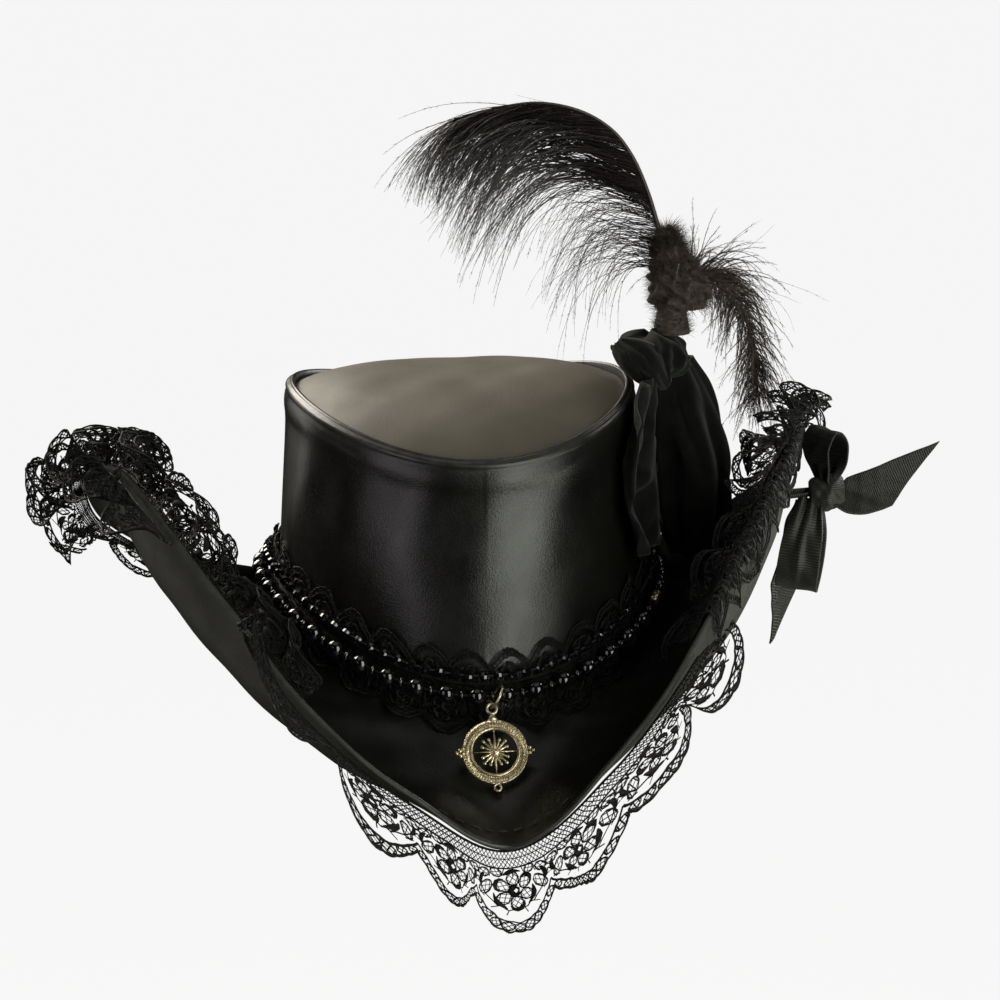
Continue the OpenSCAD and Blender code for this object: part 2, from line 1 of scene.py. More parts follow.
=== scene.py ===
"""Looks of the pirate hat: leather crown and brim, lace, beads, pendant, velvet, plumes and bow.

Lengths in the shape functions are millimetres, as in part.scad, and MM turns them into metres.
+Z is up and the front is -Y. Angles p are degrees round the crown from the front through +X.
"""

import math

import bpy
import numpy as np
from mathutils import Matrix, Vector


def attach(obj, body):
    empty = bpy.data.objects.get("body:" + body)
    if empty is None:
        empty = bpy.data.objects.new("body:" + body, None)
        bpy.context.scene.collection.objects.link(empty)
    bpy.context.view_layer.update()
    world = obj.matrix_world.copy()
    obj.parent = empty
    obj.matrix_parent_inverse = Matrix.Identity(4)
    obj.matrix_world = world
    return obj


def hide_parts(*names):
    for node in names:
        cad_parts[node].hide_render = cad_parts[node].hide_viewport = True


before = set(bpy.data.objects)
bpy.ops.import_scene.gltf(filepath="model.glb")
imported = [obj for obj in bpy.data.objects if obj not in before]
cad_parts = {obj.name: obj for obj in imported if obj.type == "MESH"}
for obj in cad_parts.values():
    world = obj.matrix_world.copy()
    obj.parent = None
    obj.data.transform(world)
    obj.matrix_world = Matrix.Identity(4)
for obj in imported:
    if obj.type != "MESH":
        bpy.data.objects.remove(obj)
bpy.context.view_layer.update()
MM = 0.001

# ---- design values, as in part.scad ----
FOOT_A, FOOT_B = 85, 101
TAPER_A, TAPER_B = 4.5, 11
RIM_Z, RIM_DIP = 104, 17
FRONT_DIP, BACK_DIP = 28, 14
WALL = 2.4
DOME = 17
TIP_DROP, TIP_TH = 4, 2
BRIM_TH, BRIM_FRONT, BRIM_EXTRA = 3, 75, 35
LINING_OUT, LINING_TH = 2.9, 0.5
SWEAT_OUT, SWEAT_TH, SWEAT_H = 3.8, 1.4, 34
SLOPE_FRONT, SLOPE_SIDE, SLOPE_BACK = -45, 15, -25
EDGE_SLOPE = [[-180, -12], [-145, -4], [-120, 30], [-105, 66], [-90, 96], [-75, 110], [-60, 121],
    [-45, 120], [-30, 90], [-15, 44], [0, -10], [15, 46], [30, 88], [45, 107], [60, 105], [75, 94],
    [90, 80], [105, 59], [120, 30], [145, -4], [180, -12]]
EARLY_LEFT, EARLY_RIGHT = 0.2, 0.42
STRAND_Z, STRAND_FRONT_DIP, STRAND_BACK_DIP = 15, 30, 20
LOWER_OUT, UPPER_OUT, UPPER_RISE = 8.6, 5.4, 8.2
BEAD_D, SPACER_D, CRYSTAL_D = 8, 5, 4.8
PAIRS, CRYSTALS = 44, 88
CLASP_P, CLASP_SPAN = 64, 5
JUMP_R, JUMP_WIRE, JUMP_TILT = 5.5, 0.6, 30
RING_R, RING_HOLE_R = 14.8, 9.8
PENDANT_LEAN, BAIL_RISE, BAIL_R, BAIL_WIRE, BAIL_DROP = 33, 19.7, 2.2, 0.8, 0.5
RIBBON_W = 20
BOW_AT = np.array([174.0, -2, 44])
UP = np.array([0.0, 0, 1])

# ---- values of the looks alone ----
RIBBON_CLOTH, VELVET_CLOTH = 0.8, 1.3  # thickness of the drawn cloths
THREAD_WANDER = 0.35  # how far lace threads stray from their pattern
REPEAT = 28  # width of the lace's repeat as it is drawn, before it is scaled to its period
LEAST_CLOTH = 0.31  # smallest share of its flat size that a lace or a cut ribbon may cover
BINDING_Z = 124.5, 139.6  # foot and top of the wound tape
DOWN_Z = 136, 174  # foot and top of the tall plume's down
CAMERA_AIM, CAMERA_DISTANCE = (0.0183, -0.0035, 0.0464), 1.9  # metres, as are the two below
LIGHT_AIM = (0, 0, 0.04)
FLOOR_HALF, FLOOR_Z = 40.0, -1.3


# ---- general functions ----
def sin(a):
    return np.sin(np.radians(a))


def cos(a):
    return np.cos(np.radians(a))


def mix(a, b, t):
    return a + (b - a) * t


def smooth(t):
    u = np.clip(t, 0, 1)
    return u * u * (3 - 2 * u)


def unit(v):
    return v / np.maximum(np.linalg.norm(v, axis=-1, keepdims=True), 1e-9)


def curve(knots, x):
    """Smooth curve through knots [[x, y], ...], as part.scad draws it."""
    xs, ys = np.array(knots, float).T
    k = np.arange(len(xs))
    a, b = np.maximum(k - 1, 0), np.minimum(k + 1, len(xs) - 1)
    tangent = (ys[b] - ys[a]) / (xs[b] - xs[a])
    i = np.clip(np.searchsorted(xs, x, side="right") - 1, 0, len(xs) - 2)
    h = xs[i + 1] - xs[i]
    t = np.clip((x - xs[i]) / h, 0, 1)
    return ((2 * t**3 - 3 * t**2 + 1) * ys[i] + (t**3 - 2 * t**2 + t) * h * tangent[i]
        + (3 * t**2 - 2 * t**3) * ys[i + 1] + (t**3 - t**2) * h * tangent[i + 1])


def path_through(points, share):
    """Points at the given shares along a smooth path through evenly counted points."""
    knots = np.array(points, float)
    at = np.linspace(0, 1, len(knots))
    return np.stack([curve(np.stack([at, c], 1), share) for c in knots.T], -1)


def half_turn(p):
    return (p + 180) % 360 - 180


def around(count):
    """Angles of count places round a full turn."""
    return 360 * np.arange(count) / count


def cloth_grid(n, m, low=0.0, high=1.0):
    """Shares along, from 0 to 1, and across, from low to high, of n by m points."""
    return np.meshgrid(np.linspace(0, 1, n), np.linspace(low, high, m), indexing="ij")


def waves(a, b, seed, size=1.0):
    """Smooth made-up unevenness between about -size and size over two coordinates."""
    rng = np.random.default_rng(seed)
    total = 0
    for k in range(6):
        fa, fb = rng.uniform(0.6, 2.4, 2) * (1 + 0.35 * k)
        total = total + np.sin(a * fa + b * fb * rng.choice([-1, 1]) + rng.uniform(0, 6.28))
    return size * total / 3.2


# ---- surfaces of the crown ----
def dip_z(p, front, back):
    return -np.where(cos(p) > 0, front, back) * cos(p) ** 2


def foot_z(p):
    return dip_z(p, FRONT_DIP, BACK_DIP)


def top_z(p):
    return RIM_Z - RIM_DIP * cos(p) ** 2


def out_dir(p):
    return unit(np.stack([sin(p) / FOOT_A, -cos(p) / FOOT_B, 0 * p], -1))


def crown_at(p, t, d=0):
    """Point of the crown's outer face at height share t, moved outward by d."""
    p, t, d = np.broadcast_arrays(np.asarray(p, float), t, d)
    narrow = smooth(t * 1.15)
    q = np.stack([(FOOT_A - TAPER_A * narrow) * sin(p), -(FOOT_B - TAPER_B * narrow) * cos(p),
        mix(foot_z(p), top_z(p), t)], -1)
    return q + d[..., None] * out_dir(p)


def crown_at_z(p, z, d=0):
    p, z, d = np.broadcast_arrays(np.asarray(p, float), z, d)
    q = crown_at(p, (z - foot_z(p)) / (top_z(p) - foot_z(p)), d)
    q[..., 2] = z
    return q


# ---- surfaces of the brim ----
def slope_in(p):
    return mix(np.where(cos(p) > 0, SLOPE_FRONT, SLOPE_BACK), SLOPE_SIDE, sin(p) ** 2)


def slope_out(p):
    return curve(EDGE_SLOPE, half_turn(p))


def leaning(s, p):
    """Directions at p along a face of slope s, outward, and square to it, upward."""
    c, d = cos(s)[..., None], sin(s)[..., None]
    return c * out_dir(p) + d * UP, c * UP - d * out_dir(p)


def brim_w(p):
    return BRIM_FRONT + BRIM_EXTRA * sin(p) ** 2


def arc(length, s0, s1):
    turn = np.where(np.abs(s1 - s0) < 0.01, 0.01, s1 - s0)
    r = length / np.radians(turn)
    return r * (sin(s0 + turn) - sin(s0)), r * (cos(s0) - cos(s0 + turn))


def brim_slope(p, u):
    s0 = slope_in(p)
    early = mix(EARLY_LEFT, EARLY_RIGHT, smooth(0.5 + sin(p)))
    share = np.where(u < 0.5, 2 * u * early, early + (2 * u - 1) * (1 - early))
    return s0 + (slope_out(p) - s0) * share


def brim_at(p, u, w=0):
    """Point of the brim's upper face at width share u, moved along the face's normal by w."""
    p, u, w = np.broadcast_arrays(np.asarray(p, float), u, w)
    s = brim_slope(p, u)
    run1, rise1 = arc(brim_w(p) * np.minimum(u, 0.5), slope_in(p), brim_slope(p, np.minimum(u, 0.5)))
    run2, rise2 = arc(brim_w(p) * np.maximum(u - 0.5, 0), brim_slope(p, 0.5), s)
    run, rise = run1 + run2 - w * sin(s), rise1 + rise2 + w * cos(s)
    return crown_at(p, 0 * u) + run[..., None] * out_dir(p) + rise[..., None] * UP


def tip_at(p, r, h=0):
    """Point of the domed tip, r from 0 in the middle to 1 at its edge, moved down by h."""
    p, r, h = np.broadcast_arrays(np.asarray(p, float), r, h)
    edge = crown_at(p, 1 + 0 * p, -WALL - 0.4)
    level = RIM_Z - RIM_DIP / 2 - TIP_DROP
    z = level + (top_z(p) - TIP_DROP - level) * r * r + DOME * (1 - np.abs(r) ** 3.2) - h
    return np.stack([edge[..., 0] * r, edge[..., 1] * r, z], -1)


def strand_line(p):
    return STRAND_Z + dip_z(p, STRAND_FRONT_DIP, STRAND_BACK_DIP)


def lower_at(p):
    return crown_at_z(p, strand_line(p), LOWER_OUT)


def upper_at(p):
    return crown_at_z(p, strand_line(p) + UPPER_RISE, UPPER_OUT)


# ---- meshes ----
def grid(n, m, wrap_n=False, wrap_m=False):
    """Quads of an n by m grid of points whose first index changes slowest."""
    i = np.arange(n if wrap_n else n - 1)[:, None]
    j = np.arange(m if wrap_m else m - 1)[None, :]
    a, b = i * m + j, i * m + (j + 1) % m
    c, d = ((i + 1) % n) * m + (j + 1) % m, ((i + 1) % n) * m + j
    return np.stack([a, d, c, b], -1).reshape(-1, 4)


def end_caps(count, n, m):
    """The two end faces of each of a number of tubes with n rings of m points."""
    start = np.arange(count)[:, None] * n * m
    return [start + np.arange(m)[::-1][None], start + (n - 1) * m + np.arange(m)[None]]


def grids(count, n, m, wrap_n=False, wrap_m=False):
    """The same for a number of equal grids, one after the other."""
    one = grid(n, m, wrap_n, wrap_m)
    return (one[None] + (np.arange(count) * n * m)[:, None, None]).reshape(-1, 4)


class Shape:
    """Points and faces gathered for one piece."""

    def __init__(self):
        self.points, self.faces, self.marks, self.uvs, self.count = [], [], [], [], 0

    def add(self, points, faces, mark=0.0, uv=None):
        """faces is a list of (n, 3) or (n, 4) arrays; mark is a number per point for materials."""
        points = np.asarray(points, float)
        flat = points.reshape(-1, 3)
        self.points.append(flat)
        self.faces += [np.asarray(f) + self.count for f in faces]
        self.marks.append(np.broadcast_to(np.asarray(mark, float), points.shape[:-1]).ravel())
        uv = np.zeros(points.shape[:-1] + (2,)) if uv is None else np.asarray(uv, float)
        self.uvs.append(uv.reshape(-1, 2))
        self.count += len(flat)

    def loft(self, rings, closed=False, mark=0.0, uv=None):
        """Solid through rings (n, m, 3), with flat fans over its ends unless it is closed."""
        rings = np.asarray(rings, float)
        n, m = rings.shape[:2]
        self.add(rings, [grid(n, m, closed, True)], mark, uv)
        if not closed:
            base = self.count - n * m
            j = np.arange(m)
            for row, turn in ((0, 1), (n - 1, -1)):
                tip = self.count
                last = self.marks[-1] if row == 0 else self.marks[-2]
                self.add(rings[row].mean(0)[None], [], last[0])
                fan = np.stack([base + row * m + j, base + row * m + (j + 1) % m, 0 * j + tip], -1)
                self.faces.append(fan[:, ::turn])

    def tubes(self, paths, radii, sides=4, mark=0.0):
        """Closed tubes along paths (k, n, 3)."""
        paths = np.asarray(paths, float)
        k, n = paths.shape[:2]
        radii = np.broadcast_to(np.asarray(radii, float), (k, n))
        along = unit(np.gradient(paths, axis=1))
        side = unit(np.cross(along, [0.03, 1, 0.02]))
        other = np.cross(along, side)
        a = 2 * np.pi * np.arange(sides) / sides
        ring = (side[:, :, None] * np.cos(a)[:, None] + other[:, :, None] * np.sin(a)[:, None])
        points = paths[:, :, None] + radii[..., None, None] * ring
        caps = end_caps(k, n, sides)
        if sides > 4:
            caps = [np.stack([c[:, 0], c[:, q], c[:, q + 1]], -1) for c in caps
                for q in range(1, sides - 1)]
        mark = np.asarray(mark, float)
        if mark.ndim:
            mark = np.broadcast_to(mark, (k, n))[:, :, None]
        self.add(points, [grids(k, n, sides, False, True), *caps],
            np.broadcast_to(mark, (k, n, sides)))

    def ball(self, centre, radii, rows=12, cols=16, axes=None):
        """Ellipsoid; axes are three rows of directions for its radii, the last its pole."""
        a = np.linspace(0, np.pi, rows + 1)[1:-1]
        b = 2 * np.pi * np.arange(cols) / cols
        unit_points = np.stack([np.sin(a)[:, None] * np.cos(b), np.sin(a)[:, None] * np.sin(b),
            np.cos(a)[:, None] + 0 * b], -1)
        axes = np.eye(3) if axes is None else np.asarray(axes)
        body = np.asarray(centre) + (unit_points * radii) @ axes
        poles = np.asarray(centre) + np.array([[0, 0, 1.0], [0, 0, -1]]) * radii @ axes
        start, j = self.count, np.arange(cols)
        self.add(body, [grid(rows - 1, cols, False, True)])
        self.add(poles, [])
        top, bottom = self.count - 2, self.count - 1
        last = start + (rows - 2) * cols
        self.faces.append(np.stack([start + j, start + (j + 1) % cols, 0 * j + top], -1))
        self.faces.append(np.stack([last + (j + 1) % cols, last + j, 0 * j + bottom], -1))

    def triangles(self):
        """The corners of all faces, cut into triangles."""
        points = np.concatenate(self.points)
        for f in self.faces:
            for k in range(1, f.shape[1] - 1):
                yield points[f[:, 0]], points[f[:, k]], points[f[:, k + 1]]

    def volume(self):
        return sum((a * np.cross(b, c)).sum() / 6 for a, b, c in self.triangles())

    def cloth_area(self):
        """Area of a thin closed solid seen as a cloth: half its surface."""
        return sum(np.linalg.norm(np.cross(b - a, c - a), axis=-1).sum() / 4
            for a, b, c in self.triangles())

    def piece(self, name, looks, slot, replaces, body="hat", smooth_faces=True, look_of=None):
        """Makes the mesh, turns it right side out and lets it ride on the body."""
        if self.volume() < 0:
            self.faces = [f[:, ::-1] for f in self.faces]
        points = np.concatenate(self.points) * MM
        loops = np.concatenate([f.ravel() for f in self.faces]).astype(np.int32)
        sizes = np.concatenate([np.full(len(f), f.shape[1]) for f in self.faces])
        starts = np.concatenate([[0], np.cumsum(sizes)[:-1]]).astype(np.int32)
        mesh = bpy.data.meshes.new(name)
        mesh.vertices.add(len(points))
        mesh.vertices.foreach_set("co", points.ravel())
        mesh.loops.add(len(loops))
        mesh.loops.foreach_set("vertex_index", loops)
        mesh.polygons.add(len(sizes))
        mesh.polygons.foreach_set("loop_start", starts)
        mesh.polygons.foreach_set("use_smooth", np.full(len(sizes), bool(smooth_faces)))
        looks = looks if isinstance(looks, (list, tuple)) else [looks]
        for look in looks:
            mesh.materials.append(look)
        if look_of is not None:
            first = loops[starts]
            mesh.polygons.foreach_set("material_index", look_of(first).astype(np.int32))
        mesh.update(calc_edges=True)
        mark = mesh.attributes.new("mark", "FLOAT", "POINT")
        mark.data.foreach_set("value", np.concatenate(self.marks).astype(np.float32))
        layer = mesh.uv_layers.new(name="UVMap")
        layer.uv.foreach_set("vector", np.concatenate(self.uvs)[loops].astype(np.float32).ravel())
        obj = bpy.data.objects.new(name, mesh)
        bpy.context.scene.collection.objects.link(obj)
        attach(obj, body)
        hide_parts(*replaces)
        return obj


# ---- materials ----
class Look:
    """A Principled material and the nodes that drive it."""

    def __init__(self, name, **sockets):
        self.material = bpy.data.materials.new(name)
        self.material.use_nodes = True
        self.tree = self.material.node_tree
        self.shader = self.tree.nodes["Principled BSDF"]
        self.set(**sockets)

    def set(self, **sockets):
        for key, value in sockets.items():
            self.wire(self.shader.inputs[key.replace("_", " ")], value)

    def wire(self, socket, value):
        if isinstance(value, bpy.types.NodeSocket):
            self.tree.links.new(value, socket)
        else:
            socket.default_value = value

    def node(self, kind, settings=None, **inputs):
        made = self.tree.nodes.new("ShaderNode" + kind)
        for key, value in (settings or {}).items():
            setattr(made, key, value)
        for key, value in inputs.items():
            self.wire(made.inputs[key.replace("_", " ")], value)
        return made

    def place(self, stretch=None):
        """Object coordinates in metres, or stretched by three factors."""
        out = self.node("TexCoord").outputs["Object"]
        if stretch:
            out = self.node("Mapping", Vector=out, Scale=stretch).outputs[0]
        return out

    def uv(self):
        return self.node("TexCoord").outputs["UV"]

    def noise(self, scale, detail=4, rough=0.55):
        return self.node("TexNoise", Vector=self.place(), Scale=scale, Detail=detail,
            Roughness=rough).outputs["Fac"]

    def wave(self, scale, distortion, stretch=None):
        return self.node("TexWave", Vector=self.place(stretch), Scale=scale,
            Distortion=distortion).outputs["Fac"]

    def ramp(self, fac, low, high, start=0.0, end=1.0):
        """Numbers from low to high as fac goes from start to end."""
        made = self.node("MapRange", Value=fac)
        for key, value in (("From Min", start), ("From Max", end), ("To Min", low), ("To Max", high)):
            made.inputs[key].default_value = value
        return made.outputs[0]

    def blend(self, fac, a, b):
        """Colour from a to b."""
        made = self.node("Mix", {"data_type": "RGBA"})
        self.wire(made.inputs[0], fac)
        for socket, value in ((made.inputs[6], a), (made.inputs[7], b)):
            self.wire(socket, value if isinstance(value, bpy.types.NodeSocket) else (*value, 1))
        return made.outputs[2]

    def math(self, operation, a, b):
        made = self.node("Math", {"operation": operation})
        self.wire(made.inputs[0], a)
        self.wire(made.inputs[1], b)
        return made.outputs[0]

    def mark(self):
        return self.node("Attribute", {"attribute_name": "mark"}).outputs["Fac"]

    def bump(self, height, depth, strength=1.0, normal=None):
        """Bump of a depth in metres."""
        made = self.node("Bump", Height=height, Strength=strength, Distance=depth)
        if normal is not None:
            self.wire(made.inputs["Normal"], normal)
        return made.outputs[0]


def leather(name, dark, light, rough_low, rough_high, grain=0.00006):
    """Smooth dressed leather with fine grain, pull-up patches, and a lighter colour where a mark says so,
    partly rubbed leather and partly a painted highlight.
    """
    look = Look(name)
    patches = look.noise(22, 5)
    fine = look.node("TexVoronoi", Vector=look.place(), Scale=1100).outputs["Distance"]
    pores = look.noise(2600, 3)
    tone = look.blend(look.ramp(patches, 0, 1, 0.35, 0.7), dark, light)
    # Lighter where the mark is high: partly rubbed leather, partly a painted highlight on rims and edges.
    rubbed_and_highlight = look.math("MULTIPLY", look.mark(), look.ramp(look.noise(160, 5), 0.2, 1, 0.35, 0.65))
    colour = look.blend(rubbed_and_highlight, tone, [min(1, c * 2.2 + 0.03) for c in light])
    look.set(Base_Color=colour, Specular_IOR_Level=0.5,
        Roughness=look.ramp(look.noise(60, 6), rough_low, rough_high, 0.3, 0.7))
    creases = look.bump(look.noise(75, 5), 0.0003, 0.5)
    grains = look.bump(look.math("ADD", fine, pores), grain, 0.8, creases)
    look.set(Normal=grains)
    return look.material


def satin():
    look = Look("lining_satin", Roughness=0.34, Anisotropic=0.5)
    look.set(Base_Color=look.blend(look.noise(30), (0.016, 0.016, 0.019), (0.03, 0.03, 0.035)),
        Normal=look.bump(look.wave(1400, 1.5, (1, 1, 0.2)), 0.00003))
    return look.material


def lace_thread():
    look = Look("lace_thread", Roughness=0.6, Specular_IOR_Level=0.22)
    look.set(Base_Color=look.blend(look.noise(180), (0.0018, 0.0018, 0.0019), (0.006, 0.006, 0.0055)),
        Normal=look.bump(look.wave(900, 3), 0.00004))
    return look.material


def sewing_thread():
    look = Look("sewing_thread", Roughness=0.5, Specular_IOR_Level=0.4)
    ply = look.wave(700, 2)
    # Painted shade and highlight: the grooves between the plies are darker and the ply crests lighter, in
    # step with the ply bump.
    look.set(Base_Color=look.blend(ply, (0.006, 0.006, 0.006), (0.02, 0.02, 0.018)),
        Normal=look.bump(ply, 0.0001))
    return look.material


def glass(name, blue, specular, coat, coat_rough, smears, rough, dents, depth, strength):
    """Black glass; smears is the scale and detail of its uneven polish."""
    look = Look(name, Base_Color=(0.003, 0.003, blue, 1), Specular_IOR_Level=specular,
        Coat_Weight=coat, Coat_Roughness=coat_rough)
    look.set(Roughness=look.ramp(look.noise(*smears), *rough, 0.3, 0.7),
        Normal=look.bump(look.noise(dents, 3), depth, strength))
    return look.material


def gold():
    look = Look("old_gold", Metallic=1.0)
    tarnish = look.noise(900, 6)
    look.set(Base_Color=look.blend(look.ramp(tarnish, 0, 1, 0.38, 0.62), (0.3, 0.24, 0.13),
        (0.74, 0.66, 0.46)), Roughness=look.ramp(tarnish, 0.46, 0.24, 0.35, 0.65),
        Normal=look.bump(look.noise(2200, 4), 0.00003, 0.6))
    return look.material


def velvet():
    look = Look("velvet", Roughness=0.9, Specular_IOR_Level=0.12, Sheen_Weight=0.13, Sheen_Roughness=0.55,
        Sheen_Tint=(0.62, 0.66, 0.6, 1))
    crush, nap = look.noise(95, 6, 0.65), look.noise(3200, 2)
    look.set(Base_Color=look.blend(look.ramp(crush, 0, 1, 0.4, 0.68), (0.0008, 0.0008, 0.0009),
        (0.0065, 0.007, 0.006)), Normal=look.bump(nap, 0.0001, 0.7, look.bump(crush, 0.0006, 0.5)))
    return look.material


def grosgrain():
    """Ribbon whose ribs, one to a millimetre, run across it; UV.x is the way along it in mm."""
    look = Look("grosgrain", Roughness=0.5, Specular_IOR_Level=0.4, Sheen_Weight=0.12, Sheen_Roughness=0.4)
    along = look.node("SeparateXYZ", Vector=look.uv()).outputs[0]
    rib = look.math("SINE", look.math("MULTIPLY", along, 2 * math.pi), 0.0)
    rib = look.ramp(rib, 0, 1, -1, 1)
    # Painted shade and highlight: the grooves between the ribs are darker and the rib crests lighter, in
    # step with the rib bump.
    tone = look.blend(rib, (0.004, 0.004, 0.0036), (0.026, 0.026, 0.022))
    look.set(Base_Color=look.blend(look.ramp(look.noise(70), 0, 0.5, 0.4, 0.7), tone, (0.02, 0.02, 0.017)),
        Normal=look.bump(rib, 0.0002, 0.8))
    return look.material


def feather(name, dark, middle, light, rough, scale=140):
    """Barbs, down or fibres whose mark sets their tone between dark and middle, with light flecks."""
    look = Look(name, Specular_IOR_Level=0.42, Roughness=rough)
    body = look.blend(look.ramp(look.mark(), 0, 1, 0.55, 0.95), dark, middle)
    flecks = look.ramp(look.noise(scale, 4), 0, 0.8, 0.52, 0.72)
    look.set(Base_Color=look.blend(flecks, body, light), Normal=look.bump(look.noise(2500, 2), 0.00005))
    return look.material


LOOKS = {
    "leather": leather("leather_black", (0.003, 0.003, 0.0026), (0.0068, 0.0065, 0.0052), 0.27, 0.38),
    # The tip's taupe base colour is a painted sheen: the black leather is lightened to stand in for the
    # grazing reflection of bright surroundings.
    "leather_tip": leather("leather_tip", (0.056, 0.049, 0.034), (0.08, 0.07, 0.05), 0.5, 0.6),
    "suede": leather("leather_under", (0.017, 0.018, 0.0135), (0.029, 0.03, 0.023), 0.55, 0.7, 0.00012),
    "sweat": leather("sweat_leather", (0.016, 0.012, 0.009), (0.03, 0.021, 0.015), 0.4, 0.55),
    "satin": satin(),
    "lace": lace_thread(),
    "jet": glass("jet_glass", 0.0035, 0.6, 0.5, 0.04, (300, 5), (0.05, 0.14), 500, 0.00003, 0.4),
    "crystal": glass("jet_crystal", 0.004, 0.7, 0.4, 0.03, (700, 4), (0.04, 0.12), 900, 0.00002, 0.3),
    "gold": gold(),
    "velvet": velvet(),
    "barbs": feather("plume_barbs", (0.009, 0.0065, 0.0068), (0.022, 0.015, 0.017),
        (0.032, 0.022, 0.027), 0.4),
    "brown_barbs": feather("plume_barbs_brown", (0.016, 0.01, 0.0075), (0.058, 0.038, 0.028),
        (0.08, 0.055, 0.043), 0.45),
    "down": feather("plume_down", (0.03, 0.021, 0.016), (0.07, 0.052, 0.038),
        (0.095, 0.072, 0.055), 0.7),
    "tape": feather("plume_tape", (0.035, 0.026, 0.019), (0.07, 0.052, 0.038),
        (0.085, 0.064, 0.047), 0.7),
    "quill": feather("plume_quill", (0.02, 0.013, 0.011), (0.035, 0.025, 0.02),
        (0.05, 0.036, 0.03), 0.35, 60),
    "grosgrain": grosgrain(),
    "sewing": sewing_thread(),
}


# ---- crown ----
def rim_profile(below):
    """How far the crown's face stands proud at a distance below the rim, in mm."""
    shoulder = 0.7 * np.exp(-((below - 9) / 4.5) ** 2)
    groove = -0.55 * np.exp(-((below - 3.6) / 1.2) ** 2)
    rounding = -np.where(below < 2.4, 2.4 - np.sqrt(np.maximum(2.4**2 - (2.4 - below) ** 2, 0)), 0)
    return shoulder + groove + rounding


def make_crown_side():
    shape = Shape()
    turns = 480
    p = around(turns)
    height = top_z(p) - foot_z(p)
    near_top = [0, 0.15, 0.4, 0.75, 1.2, 1.8, 2.6, 3.4, 4.2, 5.2, 6.6, 8.4, 10.5, 13]
    below = np.linspace(0, 1, 34)[1:] ** 1.25 * 0.87 + 0.13
    outer = []
    for b in near_top:
        t = 1 - b / height
        lift = rim_profile(b) + waves(np.radians(p) * 3, t * 2, 5, 0.35) * min(1, b / 8)
        outer.append(crown_at(p, t, lift))
    for share in below[1:]:
        b = 13 + (height - 13) * (share - below[0]) / (1 - below[0])
        t = 1 - b / height
        seam = -0.7 * np.exp(-((half_turn(p - 180) * 1.6) ** 2))
        lift = rim_profile(b) + waves(np.radians(p) * 3, t * 2, 5, 0.5) + seam
        foot_lift = 0.3 * (t < 1e-6)[:, None] * UP
        outer.append(crown_at(p, np.maximum(t, 0), lift * np.clip(t * 12, 0, 1)) + foot_lift)
    outer = np.array(outer)
    inner = [crown_at(p, t, -WALL - 2.1 * smooth((t - 0.85) / 0.13))
        for t in (0, 0.3, 0.6, 0.84, 0.9, 0.95, 0.985)]
    roll = [crown_at(p, 1 + 0 * p, -2.4 - 2.1 * (1 - np.cos(a)) / 2) + np.sin(a) * 0.9 * UP
        for a in np.linspace(0.3, 2.9, 7)]
    rings = np.concatenate([outer[::-1], roll, np.array(inner)[::-1]])
    # The rim mark lightens the rim and its roll: partly rubbed leather, partly a painted sheen where the
    # rim top catches light.
    near_rim = np.concatenate([np.exp(-((top_z(p)[None] - outer[::-1][..., 2]) / 2.5) ** 2),
        np.ones((7, turns)) * 0.8, np.zeros((7, turns))])
    shape.loft(np.swapaxes(rings, 0, 1), closed=True, mark=np.swapaxes(near_rim, 0, 1) * 0.6)
    shape.piece("crown_side_leather", LOOKS["leather"], "leather_black", replaces=["crown_side"])


def make_crown_tip():
    shape = Shape()
    p = around(360)
    shares = np.concatenate([np.linspace(0.02, 0.9, 30), [0.93, 0.955, 0.972, 0.982]])

    def uneven(r):
        return waves(r * 3 * cos(p), r * 3 * sin(p), 11, 0.3) * (1 - r**6)

    top = [tip_at(p, r) + uneven(r)[:, None] * UP for r in shares]
    skirt = [tip_at(p, 0.988, 2.0), tip_at(p, 0.99, 6.5), tip_at(p, 0.975, 7)]
    under = [tip_at(p, r, TIP_TH) for r in shares[::-1] * 0.985]
    shape.loft(top + skirt + under)
    shape.piece("crown_tip_leather", LOOKS["leather_tip"], "leather_tip", replaces=["crown_tip"])


def make_lining():
    shape = Shape()
    p = around(360)
    shares, rows = np.linspace(0.03, 0.94, 16), np.linspace(0.1, 0.86, 12)

    def pleats(r):
        return 0.35 * np.sin(np.radians(p) * 60) * r

    def skin(extra):
        top = [tip_at(p, r, TIP_TH + 1.2 + extra) + pleats(r)[:, None] * UP for r in shares]
        side = [crown_at(p, t, -LINING_OUT - extra + pleats(1.0)) for t in rows[::-1]]
        return np.array(top + side)

    shape.loft(np.concatenate([skin(0), skin(LINING_TH)[::-1]]))
    shape.piece("crown_lining_satin", LOOKS["satin"], "lining_satin", replaces=["crown_lining"])


def make_sweatband():
    shape = Shape()
    p = around(360)
    rings = []

    def ring(h, fat):
        ease = 0.25 * np.sin(np.radians(p) * 9) * h
        rings.append(crown_at_z(p, foot_z(p) - 5 + h * SWEAT_H, -SWEAT_OUT - fat - ease))

    for h in np.linspace(0, 1, 14):
        ring(h, 0)
    for h in np.linspace(1, 0, 14):
        ring(h, SWEAT_TH + 0.5 * np.exp(-((1 - h) * 9) ** 2) + 0.4 * np.exp(-(h * 12) ** 2))
    shape.loft(np.swapaxes(np.array(rings), 0, 1), closed=True)
    shape.piece("sweatband_leather", LOOKS["sweat"], "sweat_leather", replaces=["sweatband"])


